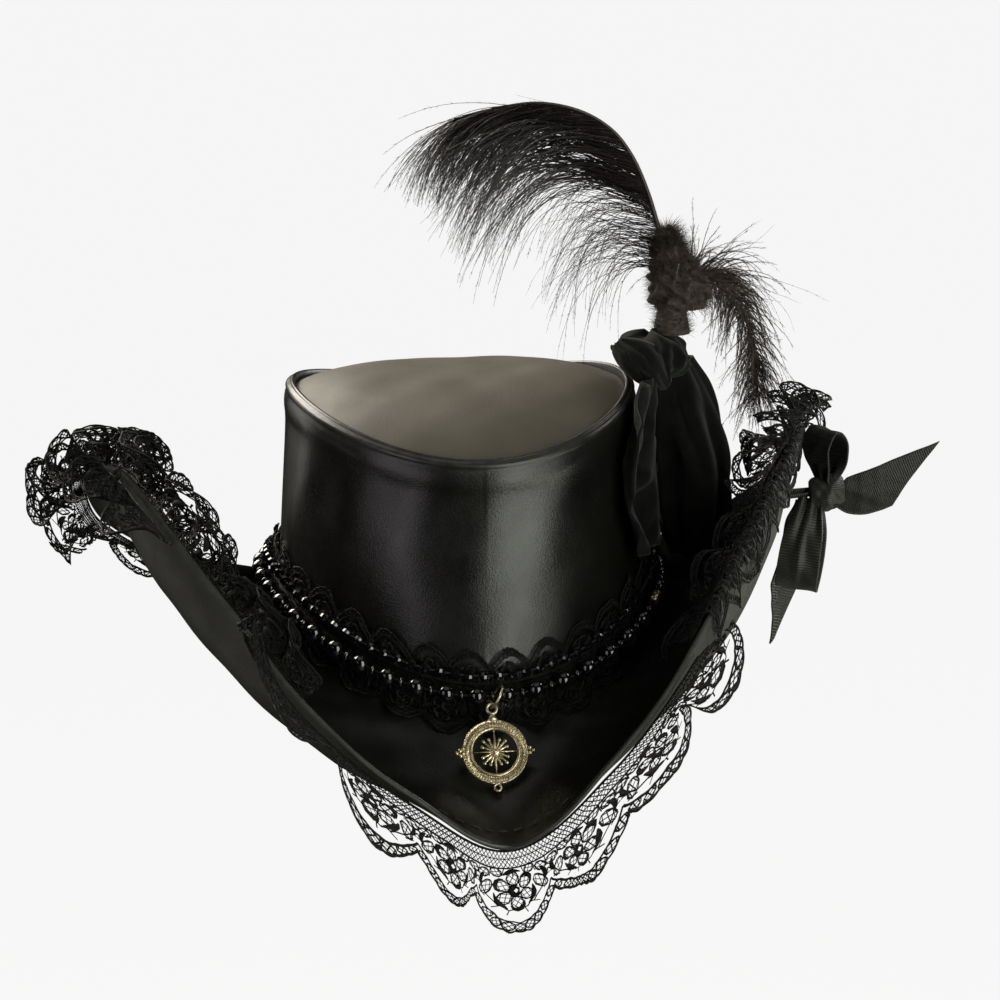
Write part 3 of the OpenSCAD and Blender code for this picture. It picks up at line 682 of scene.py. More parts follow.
# ---- brim ----
def make_brim():
    shape = Shape()
    turns = 540
    p = around(turns)
    lip = SWEAT_OUT - 0.4
    shares = np.concatenate([np.linspace(0, 0.9, 34), [0.925, 0.95, 0.97, 0.983]])

    def lip_at(w):
        s = slope_in(p)
        inwards = (lip - w * sin(s)) / cos(s)
        return brim_at(p, 0 * p, w) - inwards[:, None] * leaning(s, p)[0]

    def uneven(u):
        return waves(np.radians(p) * 4, u * 3 + 0 * p, 21, 0.55) * smooth((u - 0.05) * 5)

    top = [lip_at(0)] + [brim_at(p, u, uneven(u)) for u in shares]
    edge = [brim_at(p, 0.983 + 0.017 * math.sin(a), -BRIM_TH / 2 * (1 - math.cos(a)) + uneven(1))
        for a in np.linspace(0.25, math.pi - 0.25, 8)]
    under = [brim_at(p, u, -BRIM_TH + uneven(u)) for u in shares[::-1]] + [lip_at(-BRIM_TH)]
    rings = np.array(top + edge + under)
    # The edge mark lightens the leather along the brim's edge, top and under: partly rubbed leather, partly
    # a painted highlight where the edge catches light.
    edge_rub_and_highlight = np.concatenate([[0], np.exp(-((1 - shares) * 30) ** 2) * 0.5, np.full(8, 0.3),
        np.exp(-((1 - shares[::-1]) * 40) ** 2) * 0.5, [0]])
    shape.loft(np.swapaxes(rings, 0, 1), closed=True, mark=np.tile(edge_rub_and_highlight, (turns, 1)))
    under_from = len(top) + len(edge) // 2

    def look_of(first):
        """Suede for the faces whose first point lies on the under face."""
        return (first % len(rings) >= under_from).astype(int)

    shape.piece("brim_leather", [LOOKS["leather"], LOOKS["suede"]], "leather_black",
        replaces=["brim"], look_of=look_of)


# ---- lace ----
class Strokes:
    """Threads of one lace scallop, drawn flat in mm: x along the edge and y away from the header."""

    def __init__(self):
        self.sets = []

    def line(self, points, radius, sides=3, flat=1.0):
        points = np.asarray(points, float)
        points = points[None] if points.ndim == 2 else points
        radius = np.broadcast_to(np.asarray(radius, float), points.shape[:2])
        self.sets.append((points, radius, sides, flat))

    def petal(self, centre, r, a0, a1, radius):
        """Thick flat stroke along an arc, with a radius for each of its points."""
        a = np.linspace(a0, a1, len(radius))
        self.line(np.stack([centre[0] + r * cos(a), centre[1] + r * sin(a)], -1), radius, 4, 0.5)

    def net_oval(self, centre, rx, ry, turn, rim, thread, lines=3):
        """Oval outline filled with crossed threads."""
        c, s = cos(turn), sin(turn)
        spin = np.array([[c, s], [-s, c]])
        a = np.linspace(0, 360, 9)
        self.line(np.asarray(centre) + np.stack([rx * cos(a), ry * sin(a)], -1) @ spin, rim)
        offsets = np.linspace(-0.66, 0.66, lines)
        half = np.sqrt(1 - offsets**2)
        for way in (45, -45):
            d, q = np.array([cos(way), sin(way)]), np.array([-sin(way), cos(way)])
            ends = np.stack([offsets[:, None] * q - half[:, None] * d,
                offsets[:, None] * q + half[:, None] * d], 1) * [rx, ry]
            self.line(np.asarray(centre) + ends @ spin, thread)


def scallop(width, period, bold):
    """One repeat of the lace: net header, a rose between leaves, and a scalloped beaded border."""
    k = period / REPEAT
    body = width / k
    s = Strokes()
    header = max(3.5, body - 24)
    notch, border, pitch = 10.5, 3.7, REPEAT / 9

    def edge(x, inset=0.0):
        arch = np.abs(np.cos(np.pi * (x - 14) / REPEAT)) ** 0.9
        bumps = 0.5 * np.abs(np.sin(np.pi * x / pitch))
        return body - notch * (1 - arch) - inset + bumps * (0.5 if inset else 1)

    x = np.linspace(0, REPEAT, 46)
    s.line(np.stack([x, edge(x)], -1), 0.42, 4)
    s.line(np.stack([x, edge(x, border)], -1), 0.34, 4)
    x = np.linspace(0, REPEAT, 23)
    wiggle = 0.35 * np.sin(x * 1.9)
    s.line(np.stack([x, edge(x, border + 4.6) + wiggle], -1), 0.24)
    for i in range(9):
        at = (i + 0.5) * pitch
        slope = math.degrees(math.atan2(edge(at + 0.8, 1) - edge(at - 0.8, 1), 1.6))
        s.net_oval((at, edge(at, border / 2)), 1.75, 1.45, slope, 0.24, 0.15)

    rose = np.array([14.0, body - 15.6])
    for i in range(6):
        a = 60 * i + 25
        s.net_oval(rose + 4.7 * np.array([cos(a), sin(a)]), 2.5, 2.1, a, 0.3, 0.15)
        dense = [0.25, 0.7, 1.0, 0.9, 0.5, 0.2]
        if i % 2:
            s.petal(rose + 4.9 * np.array([cos(a), sin(a)]), 2.5, a - 95, a + 80, dense)
        else:
            s.petal(rose, 7.3, a - 30, a + 28, np.array(dense) * 1.1)
    s.petal(rose, 2.2, 20, 290, [0.3, 0.8, 0.9, 0.9, 0.7, 0.3])
    s.net_oval(rose, 1.3, 1.3, 0, 0.4, 0.2, 2)
    for side in (-1, 1):
        s.net_oval((14 + side * 10.2, body - 16.2), 3.4, 1.8, side * 62, 0.3, 0.15)
        s.net_oval((14 + side * 11.6, body - 21.5), 2.6, 1.6, side * 20, 0.3, 0.15)
        s.net_oval((14 + side * 6.6, body - 22.6), 2.3, 1.5, side * -25, 0.3, 0.15)
        s.petal((14 + side * 9.5, body - 18.5), 3.2, 90 - side * 150, 90 - side * 40,
            [0.2, 0.7, 0.9, 0.7, 0.2])
        for x0, y0, x1, y1 in ((5.4, 10.2, 8.2, 9.2), (2.6, 8.6, 3.2, 6.6), (10.4, 12.6, 12.8, 14.0),
                (13.9, 17.0, 11.6, 16.5), (9.0, 20.6, 8.4, 23.6), (4.4, 21.4, 3.4, 24)):
            s.line([[14 + side * x0, body - y0], [14 + side * x1, body - y1]], 0.2)
    for x0, y0, x1, y1 in ((14, 8.0, 14, 9.5), (14, 21.0, 14, 24), (0, 20, 0.3, 24)):
        s.line([[x0, body - y0], [x1, body - y1]], 0.2)

    spacing = 1.75
    count = round(REPEAT / spacing)
    x = np.arange(count) * spacing
    for lean in (-1, 1):
        y = np.linspace(0.3, header, 3)
        s.line(np.stack([x[:, None] + lean * (y - 0.3) * 0.8, y + 0 * x[:, None]], -1), 0.17)
    for y, radius in ((0.5, 0.5), (header, 0.34), (header * 0.5, 0.2)):
        s.line([[x, y] for x in np.linspace(0, REPEAT, 8)], radius, 4)
    bold = bold * (0.5 + 0.5 * k)
    return [(paths * k, radius * bold, sides, flat) for paths, radius, sides, flat in s.sets]


def lace(shape, count, width, period, place, bold):
    """Adds count scallops to the shape. place(share along, share across, mm off the face) is a point."""
    length = count * period
    for paths, radius, sides, flat in scallop(width, period, bold):
        tangent = unit(np.gradient(paths, axis=1))
        across = np.stack([-tangent[..., 1], tangent[..., 0]], -1)
        a = 2 * np.pi * (np.arange(sides) + 0.5) / sides
        ring = paths[:, :, None] + radius[..., None, None] * np.cos(a)[:, None] * across[:, :, None]
        off = radius[..., None] * np.sin(a) * flat
        k, n = paths.shape[:2]
        x = ring[None, ..., 0] + (np.arange(count) * period)[:, None, None, None]
        y = np.broadcast_to(ring[None, ..., 1], x.shape)
        off = np.broadcast_to(off[None], x.shape)
        y = y + waves(x / 5, y / 6, 3, THREAD_WANDER) * np.clip(y / width, 0, 1)
        x = x + waves(x / 6, y / 5, 4, THREAD_WANDER)
        points = place(np.clip(x / length, 0, 1), y / width, off)
        total = count * k
        shape.add(points.reshape(total, n, sides, 3),
            [grids(total, n, sides, False, True), *end_caps(total, n, sides)])


def cut_sheet(shape, flat, rests_on):
    """Works out the area of a sheet cut from a flat size in mm, of which holes or slanted ends take a part
    away; the area is not used further.
    """
    flat = (flat[0] * MM, flat[1] * MM)
    full = flat[0] * flat[1]
    area = min(max(shape.cloth_area() * MM * MM, LEAST_CLOTH * full), full)


def lace_piece(name, node, count, width, period, place, bold=1.2, drop=None, rests_on=("brim_leather",)):
    """Lace of a pattern drawn for the width, drawn out to drop mm where that is given."""
    shape = Shape()
    lace(shape, count, width, period, place, bold)
    obj = shape.piece(name, LOOKS["lace"], "lace", replaces=[node])
    cut_sheet(shape, (drop or width, count * period), list(rests_on))


def beyond_edge(p0, p1, turn, wave, folds, width, sewn_u, lift, shear=0.0, seed=1):
    """Place on a flounce that stands out beyond the brim's edge, as flounce() in part.scad."""

    def place(x, v, off):
        p = mix(p0, p1, x)
        phase = 360 * folds * x + 40 * waves(x * 9, 0 * x, seed)
        p = p + shear * v * np.cos(np.radians(phase))
        a = turn + wave * sin(phase) * (0.35 + 0.65 * v) + 6 * waves(x * 14, v, seed + 7)
        out, up = leaning(slope_out(p), p)
        along = cos(a)[..., None] * out + sin(a)[..., None] * up
        face = cos(a)[..., None] * up - sin(a)[..., None] * out
        return brim_at(p, sewn_u, lift) + (v * width)[..., None] * along + off[..., None] * face

    return place


def folded_over(p0, p1, folds, width, inner, lift, seed=1):
    """Place on lace sewn inside the edge, folded over it and lying loosely on the under face."""

    def place(x, v, off):
        phase = 360 * folds * x + 50 * waves(x * 9, 0 * x, seed)
        p = mix(p0, p1, x) + 1.3 * v * np.cos(np.radians(phase))
        d = v * width - inner
        wrap = math.pi * (BRIM_TH / 2 + lift)
        turn = np.clip(d / wrap, 0, 1) * 180
        past = np.maximum(d - wrap, 0)
        loose = past / width * (2.2 + 1.5 * sin(phase) + 1.0 * waves(x * 26, v * 4, seed + 3))
        r = BRIM_TH / 2 + lift + off + loose
        back = np.where(d < 0, -d, past)
        middle = brim_at(p, 1 - back / brim_w(p), -BRIM_TH / 2)
        out, up = leaning(brim_slope(p, 1 - back / brim_w(p)), p)
        return middle + r[..., None] * (cos(turn)[..., None] * up + sin(turn)[..., None] * out)

    return place


def round_crown(lower):
    """Place on the band round the crown, from the strands up the wall or down over the brim."""

    def place(x, v, off):
        p = 360 * x + 180
        ripple = 1.2 * sin(36 * p) + 0.8 * waves(x * 40, v * 3, 9)
        if not lower:
            z = strand_line(p) - 3 + v * 21
            return crown_at_z(p, z, 2.0 + ripple * v * 0.8 + off)
        reach = v * 26
        wall = strand_line(p) - foot_z(p) + 4
        down = np.minimum(reach, wall)
        over = np.maximum(reach - wall, 0)
        near = crown_at_z(p, strand_line(p) + 4 - down, 2.2 + ripple * v + off)
        flare = brim_at(p, np.minimum(over / brim_w(p), 0.25), 0) - crown_at(p, 0)
        lift = (2.2 + ripple * v + off) * np.where(over > 0, 1, 0)
        s = slope_in(p)
        turn_out = smooth(over / 8)[..., None] * lift[..., None]
        outward = turn_out * (cos(s)[..., None] * UP - (sin(s) + 1)[..., None] * out_dir(p))
        return near + flare * (over > 0)[..., None] + outward

    return place


def make_lace():
    under, over = -BRIM_TH - 1.4, 1.4
    for name, node, count, width, period, place, *rest in (
            ("front_flounce", "brim_lace_front", 8, 31, 28,
                beyond_edge(-42, 33, -54, 17, 5, 36, 0.945, under, 1.5, 2), 1.2, 36),
            ("left_ruffle", "brim_lace_left_ruffle", 11, 22, 25,
                beyond_edge(-104, -33, 26, 40, 8, 22, 0.97, over, 3.2, 5)),
            ("left_inside", "brim_lace_left_ruffle", 10, 19, 25,
                beyond_edge(-102, -36, 80, 34, 9, 19, 0.955, over + 0.4, 3.0, 6)),
            ("left_wing", "brim_lace_left_wing", 11, 30, 27,
                beyond_edge(-121, -63, -80, 30, 6, 30, 0.97, under, 2.4, 8)),
            ("left_crest", "brim_lace_left_wing", 6, 24, 25,
                beyond_edge(-112, -78, 8, 38, 4, 24, 0.97, over + 0.6, 2.6, 28)),
            ("right_fold", "brim_lace_right_fold", 12, 30, 25, folded_over(37, 104, 9, 30, 8, 1.0, 12)),
            ("right_inside", "brim_lace_right_fold", 10, 26, 25,
                beyond_edge(34, 104, 118, 16, 7, 26, 0.985, over + 0.2, 1.6, 15), 1.25),
            ("right_wing", "brim_lace_right_wing", 6, 25, 25,
                beyond_edge(72, 112, -6, 30, 5, 25, 0.985, over + 1.2, 2.0, 14)),
            ("back_flounce", "brim_lace_back", 14, 28, 27,
                beyond_edge(122, 238, -20, 11, 9, 28, 0.98, under, 0, 19))):
        lace_piece("lace_" + name, node, count, width, period, place, *rest)
    lace_piece("lace_hatband_upper", "hatband_lace", 30, 20, 20, round_crown(False),
        rests_on=["crown_side_leather"])
    lace_piece("lace_hatband_lower", "hatband_lace", 27, 24, 22.5, round_crown(True),
        rests_on=["crown_side_leather", "brim_leather"])


# ---- small helpers for the trimmings ----
def sheet_solid(shape, points, thick, uv):
    """Closed solid of a given thickness round a grid of points (n, m, 3)."""
    normal = unit(np.cross(np.gradient(points, axis=0), np.gradient(points, axis=1)))
    n, m = points.shape[:2]
    low = n * m
    i, j = np.arange(n - 1), np.arange(m - 1)
    row0, row1 = j, (n - 1) * m + j
    col0, col1 = i * m, i * m + m - 1
    rims = [np.stack([row0, row0 + 1, row0 + 1 + low, row0 + low], -1),
        np.stack([row1 + 1, row1, row1 + low, row1 + 1 + low], -1),
        np.stack([col0 + m, col0, col0 + low, col0 + m + low], -1),
        np.stack([col1, col1 + m, col1 + m + low, col1 + low], -1)]
    both = np.concatenate([points + normal * thick / 2, points - normal * thick / 2])
    shape.add(both, [grid(n, m), grid(n, m)[:, ::-1] + low, *rims], uv=np.concatenate([uv, uv]))


def length_of(line):
    return float(np.linalg.norm(np.diff(line, axis=0), axis=1).sum())


def torus(shape, centre, radius, wire, x_axis, y_axis, rows=64, cols=16):
    """Ring of round wire that lies in the plane of two directions."""
    a = 2 * np.pi * np.arange(rows) / rows
    b = 2 * np.pi * np.arange(cols) / cols
    x_axis, y_axis = np.asarray(x_axis, float), np.asarray(y_axis, float)
    out = np.cos(a)[:, None] * x_axis + np.sin(a)[:, None] * y_axis
    rings = (radius + wire * np.cos(b))[None, :, None] * out[:, None]
    rings = rings + (wire * np.sin(b))[None, :, None] * np.cross(x_axis, y_axis)
    shape.loft(np.asarray(centre) + rings, closed=True)


def along_axes(a, b):
    """Three directions for a bead at a whose bore points at b."""
    along = unit(b - a)
    side = unit(np.cross(along, UP))
    return np.array([side, np.cross(along, side), along])


def spikes(shape, bases, tips, radius, mark):
    """Thin three-sided hairs from bases to tips."""
    along = unit(tips - bases)
    side = unit(np.cross(along, [0.3, 0.8, 0.5]))
    other = np.cross(along, side)
    a = np.radians([0, 120, 240])
    foot = bases[:, None] + radius * (side[:, None] * np.cos(a)[:, None]
        + other[:, None] * np.sin(a)[:, None])
    points = np.concatenate([foot, tips[:, None]], 1)
    start = 4 * np.arange(len(bases))[:, None]
    corners = np.array([[0, 1, 3], [1, 2, 3], [2, 0, 3], [0, 2, 1]])
    shape.add(points, [(start[:, :, None] + corners).reshape(-1, 3)],
        np.broadcast_to(np.asarray(mark, float)[:, None], points.shape[:2]))


def paint(nodes, look):
    """Gives kept CAD nodes a detailed material."""
    for name in nodes:
        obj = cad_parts[name]
        obj.data.materials.clear()
        obj.data.materials.append(LOOKS[look])


# ---- bead strands ----
def string_beads(at, count, start, size, high, rows, cols, turn=0):
    """Beads of a diameter and height share on a strand, each turned on from the last, none at the clasp."""
    shape = Shape()
    for i in range(count):
        p = 360 * (i + start) / count
        if abs(half_turn(p - CLASP_P)) > CLASP_SPAN:
            c, s = cos(turn * i), sin(turn * i)
            spin = np.array([[c, s, 0], [-s, c, 0], [0, 0, 1]])
            shape.ball(at(p), np.array([1, 1, high]) * size / 2, rows, cols,
                spin @ along_axes(at(p), at(p + 0.5)))
    return shape


def make_beads():
    string_beads(lower_at, PAIRS, 0.5, BEAD_D, 1, 20, 28).piece(
        "beads_round", LOOKS["jet"], "jet_bead", replaces=["round_beads"])
    string_beads(lower_at, PAIRS, 0, SPACER_D, 0.52, 14, 24).piece(
        "beads_flat", LOOKS["jet"], "jet_bead", replaces=["spacer_beads"])
    string_beads(upper_at, CRYSTALS, 0.5, CRYSTAL_D, 0.96, 6, 9, 37).piece(
        "beads_crystal", LOOKS["crystal"], "jet_crystal", replaces=["crystal_beads"], smooth_faces=False)


# ---- pendant ----
JUMP_AT = lower_at(0.0) + np.array([1.5, -1, -0.2])
PENDANT_UP = np.array([0, sin(PENDANT_LEAN), cos(PENDANT_LEAN)])
BAIL_AT = (JUMP_AT - JUMP_R * (cos(PENDANT_LEAN) * np.array([sin(JUMP_TILT), 0, cos(JUMP_TILT)])
    + np.array([0, sin(PENDANT_LEAN), 0])) - BAIL_DROP * PENDANT_UP)
PENDANT_FACE = np.array([0, -cos(PENDANT_LEAN), sin(PENDANT_LEAN)])
SIDEWAYS = np.array([1.0, 0, 0])
HUNG = np.array([SIDEWAYS, PENDANT_UP, PENDANT_FACE])


def hang(points):
    """Pendant points drawn flat in X and Y, its face towards +Z, hung below the bail."""
    points = np.asarray(points, float)
    return (BAIL_AT + points[..., :1] * SIDEWAYS + (points[..., 1:2] - BAIL_RISE) * PENDANT_UP
        + points[..., 2:3] * PENDANT_FACE)


def make_jump_ring():
    shape = Shape()
    down = np.array([-sin(JUMP_TILT), 0, -cos(JUMP_TILT)])
    torus(shape, JUMP_AT, JUMP_R, JUMP_WIRE, down, np.array([0, 1.0, 0]), 96, 18)
    shape.piece("ring_jump", LOOKS["gold"], "old_gold", body="jump_ring", replaces=["jump_ring"])


def make_compass_frame():
    shape = Shape()
    profile = np.array([[RING_HOLE_R, 0.3], [RING_HOLE_R, -0.7], [10.1, -1], [14.3, -1],
        [14.75, -0.65], [RING_R, 0.1], [14.6, 0.55], [14.25, 0.72], [13.95, 0.55], [13.75, 0.3],
        [13.6, 0.42], [13.1, 0.5],
        [12.6, 0.52], [12.1, 0.5], [11.75, 0.42], [11.6, 0.2], [11.45, 0.55], [11.2, 0.9],
        [10.8, 1.08], [10.4, 1.05], [10.0, 0.8]])
    a = around(70 * 8)
    ridge = np.where((profile[:, 0] > 11.7) & (profile[:, 0] < 13.7) & (profile[:, 1] > 0), 1, 0)
    beaded = np.where((profile[:, 0] > 14) & (profile[:, 1] > 0.5), 1, 0)
    z = (profile[:, 1][None] + 0.24 * ridge * np.cos(np.radians(a * 70))[:, None]
        + 0.07 * beaded * np.cos(np.radians(a * 36))[:, None])
    rings = np.stack([profile[:, 0] * cos(a)[:, None], profile[:, 0] * sin(a)[:, None], z], -1)
    shape.loft(hang(rings), closed=True)
    for side in (-1, 1):
        for x, y, r in ((15.5, 1.15, 1.1), (15.5, -1.15, 1.1), (17, 0, 0.95)):
            shape.ball(hang([side * x, y, 0.1]), r, 14, 20, HUNG)
    torus(shape, hang([0, -16.2, 0]), 1.5, 0.6, SIDEWAYS, PENDANT_UP, 48, 14)
    torus(shape, hang([0, BAIL_RISE, 0]), BAIL_R, BAIL_WIRE, SIDEWAYS, PENDANT_UP, 56, 16)
    neck = [[0.75, 17.3, 0.5], [1.15, 16.4, 0.75], [1.9, 15.6, 0.9], [2.3, 14.9, 0.9], [2.4, 14.2, 0.7]]
    b = 2 * np.pi * np.arange(20) / 20
    shape.loft(hang([[[w * np.cos(t), y, h * np.sin(t) + 0.1] for t in b] for w, y, h in neck]))
    shape.piece("compass_ring", LOOKS["gold"], "old_gold", body="compass", replaces=["compass_frame"])


def make_compass_rose():
    shape = Shape()

    def blade(turn, length, half, high):
        share = np.array([0, 0.12, 0.35, 0.7, 1])
        wide = half * np.array([0.45, 0.75, 1, 0.62, 0.12])
        tall = high * np.array([0.8, 1, 1, 0.75, 0.4])
        rings = [[[x * w, s * length, z * h] for x, z in ((1, -0.35), (0, 1), (-1, -0.35))]
            for s, w, h in zip(share, wide, tall)]
        rings = np.array(rings)
        c, s = cos(turn), sin(turn)
        x, y = rings[..., 0] * c - rings[..., 1] * s, rings[..., 0] * s + rings[..., 1] * c
        shape.loft(hang(np.stack([x, y, rings[..., 2]], -1)))

    for turn, length, half in ((0, 10.5, 1.1), (180, 10.5, 1.1), (90, 10.2, 0.62), (270, 10.2, 0.62)):
        blade(turn, length, half, 0.95)
    for quarter in range(4):
        for k in (-1, 0, 1):
            turn = 45 + 90 * quarter + 22 * k
            reach = 6.9 if k == 0 else 6.0
            way = np.array([-sin(turn), cos(turn), 0])
            axes = np.array([[cos(turn), sin(turn), 0], way, [0, 0, 1]]) @ HUNG
            shape.ball(hang(way * (reach * 0.56)), [0.62, reach * 0.5, 0.5], 12, 14, axes)
            shape.ball(hang(way * reach), [0.85, 0.95, 0.6], 12, 14, axes)
    shape.ball(hang([0, 0, 0.2]), [2.4, 2.4, 0.8], 14, 28, HUNG)
    for i in range(10):
        shape.ball(hang([1.75 * cos(36 * i), 1.75 * sin(36 * i), 0.75]), 0.42, 8, 10, HUNG)
    shape.ball(hang([0, 0, 0.9]), [1.0, 1.0, 0.6], 10, 16, HUNG)
    shape.piece("compass_star", LOOKS["gold"], "old_gold", body="compass", replaces=["compass_rose"])


# ---- velvet ----
def make_velvet_knot():
    """Gathered knot: a dark dome with a leaf-shaped fold across its front."""
    shape = Shape()
    a = around(120)
    rings = []
    for t in np.linspace(0, 1, 56):
        z = mix(105.5, 126, t)
        size = np.sqrt(np.clip(1 - (2 * abs(t - 0.5)) ** 2.6, 0.02, 1))
        gather = (0.07 * np.sin(np.radians(a * 7) + 3 * t) + 0.05 * np.sin(np.radians(a * 13) - 5 * t)
            + 0.05 * waves(np.radians(a) * 2, 4 * t, 31))
        rx, ry = 15.5 * size * (1 + gather), 16.5 * size * (1 + gather)
        tilt = 4.5 * (t - 0.5)
        rings.append(np.stack([89 - tilt + rx * sin(a), -11 - ry * cos(a),
            z + 1.5 * np.sin(np.radians(a * 3) + 1)], -1))
    shape.loft(rings)
    obj = shape.piece("velvet_knot_dome", LOOKS["velvet"], "velvet", replaces=["velvet_knot"])

    leaf = Shape()
    u, v = cloth_grid(60, 26, -1)
    wide = 9.5 * np.sin(np.pi * np.clip(u * 0.93 + 0.05, 0, 1)) ** 0.6
    x = mix(70, 93, u) + v * wide * 0.72
    z = mix(123.5, 102.5, u) + v * wide * 0.6 + 2.5 * np.sin(np.pi * u)
    bulge = (4.5 * (1 - v * v) * np.sin(np.pi * u) + 1.1 * np.sin(v * 9 + u * 5)
        + 0.8 * waves(u * 6, v * 3, 33))
    y = -27.5 + 13 * (np.abs(u - 0.55) * 1.9) ** 2 * 0.55 - bulge
    points = np.stack([x, y, z], -1)
    sheet_solid(leaf, points, VELVET_CLOTH, np.stack([u * 30, v * 9], -1))
    obj = leaf.piece("velvet_leaf_fold", LOOKS["velvet"], "velvet", replaces=["velvet_knot"])
    cut_sheet(leaf, (22, 33), ["velvet_knot_dome"])


def hang_velvet(name, node, points, thick, uv):
    """Piece of velvet between the knot and the crown, with its flat size measured along the cloth."""
    shape = Shape()
    sheet_solid(shape, points, thick, uv)
    widths = [length_of(row) for row in points[::6]]
    flat = (float(np.mean(widths)) * MM, length_of(points[:, points.shape[1] // 2]) * MM)
    obj = shape.piece(name, LOOKS["velvet"], "velvet", replaces=[node])


def make_velvet_drape():
    """Cloth that hangs from the knot in pleats against the crown's +X side, towards the front."""
    u, v = cloth_grid(70, 90)
    z = mix(109, 33, u)
    p = curve([[0, 70], [0.25, 66], [0.6, 63], [1, 65]], u)
    wide = curve([[0, 20], [0.3, 30], [0.7, 32], [1, 22]], u)
    deep = curve([[0, 2.6], [0.3, 4.2], [0.7, 4.6], [1, 3]], u)
    fold = (np.sin(2 * np.pi * (1.7 * v + 0.3 * np.sin(3 * u) + 0.12 * waves(u * 5, v * 4, 41)))
        + 0.14 * waves(u * 5, v * 6, 43))
    angle = p - 2 + (v - 0.5) * wide * 0.8
    hang_velvet("velvet_drape_folds", "velvet_drape", crown_at_z(angle, z, 7.6 + deep * fold),
        VELVET_CLOTH, np.stack([v * 60, u * 76], -1))


def make_velvet_loop():
    """Loop of the same cloth that bulges out over the wing, behind the drape."""
    u, v = cloth_grid(80, 150)
    z = mix(110, 16, u)
    cx = curve([[0, 101], [0.3, 106], [0.6, 110], [1, 109]], u)
    rx = curve([[0, 8], [0.15, 13], [0.5, 16.5], [0.8, 15], [1, 7]], u)
    ry = curve([[0, 9], [0.15, 18], [0.5, 23], [0.8, 20], [1, 9]], u)
    a = mix(-115, 200, v)
    fold = 0.09 * np.sin(np.radians(a * 5) + 2.4 * u) + 0.05 * np.sin(np.radians(a * 9) - 3 * u)
    fold = fold + 0.05 * waves(np.radians(a) * 2, u * 5, 47)
    points = np.stack([cx + rx * (1 + fold) * sin(a), 4 - ry * (1 + fold) * cos(a), z
        + 1.5 * waves(np.radians(a), u * 2, 48)], -1)
    hang_velvet("velvet_loop_folds", "velvet_loop", points, VELVET_CLOTH + 0.1,
        np.stack([v * 110, u * 95], -1))


# ---- plumes ----
TALL_SPINE = [[98, -6, 140.5], [97, -6, 150], [95, -6, 162], [91, -6, 175], [86, -6, 191],
    [79, -6, 207], [69, -6, 220], [54, -6, 229], [35, -6, 233], [14, -6, 231]]
SHORT_SPINE = [[102.5, -2, 140.5], [107, 0, 147], [115, 4, 150], [124, 8, 146], [132, 11, 136],
    [138, 13, 121], [142, 14, 103], [144, 15, 84]]


def barbs(shape, roots, heading, length, sag, late, radius, per_barb, rng, tone, steps=15,
        wander=0.05, spike=2.2):
    """Feather barbs that leave their roots along the headings and sink as sag says.

    late is the share of each barb before it starts to sink; per_barb is its count of barbules.
    """
    count = len(roots)
    step = (length / steps)[:, None]
    at, way, path = roots.copy(), unit(heading), [roots.copy()]
    drift = rng.normal(0, wander, (count, 3))
    for i in range(steps):
        sinking = np.clip((i / steps - late) / 0.25, 0, 1)
        way = unit(way - (sag * sinking)[:, None] / steps * 3.2 * UP + drift / 3
            + rng.normal(0, wander * 0.5, (count, 3)))
        at = at + way * step
        path.append(at)
    path = np.stack(path, 1)
    share = np.linspace(0, 1, steps + 1)
    radii = radius[:, None] * (1 - 0.8 * share**1.3)
    shape.tubes(path, radii, sides=3, mark=np.broadcast_to(tone[:, None], radii.shape))
    t = rng.uniform(0.06, 0.97, (count, per_barb)) * steps
    i = np.minimum(t.astype(int), steps - 1)
    row = np.arange(count)[:, None]
    step = path[row, i + 1] - path[row, i]
    base = path[row, i] + (t - i)[..., None] * step
    along = unit(step)
    out = unit(np.cross(along, rng.normal(0, 1, along.shape)))
    size = spike * rng.uniform(0.5, 1.3, (count, per_barb, 1))
    tips = base + size * unit(along + 0.55 * out)
    spikes(shape, base.reshape(-1, 3), tips.reshape(-1, 3), 0.1,
        np.broadcast_to(tone[:, None], (count, per_barb)).ravel())


def along_spine(spine, share):
    """Points and headings along a spine."""
    return (path_through(spine, share),
        unit(path_through(spine, share + 0.01) - path_through(spine, share - 0.01)))


def make_stem(body, node, spine, foot_r, thinning, steps):
    shape = Shape()
    share = np.linspace(0, 1, steps)
    shape.tubes(path_through(spine, share)[None], (foot_r - thinning * share)[None], 10)
    shape.piece(body + "_stem", LOOKS["quill"], "quill", body=body, replaces=[node])


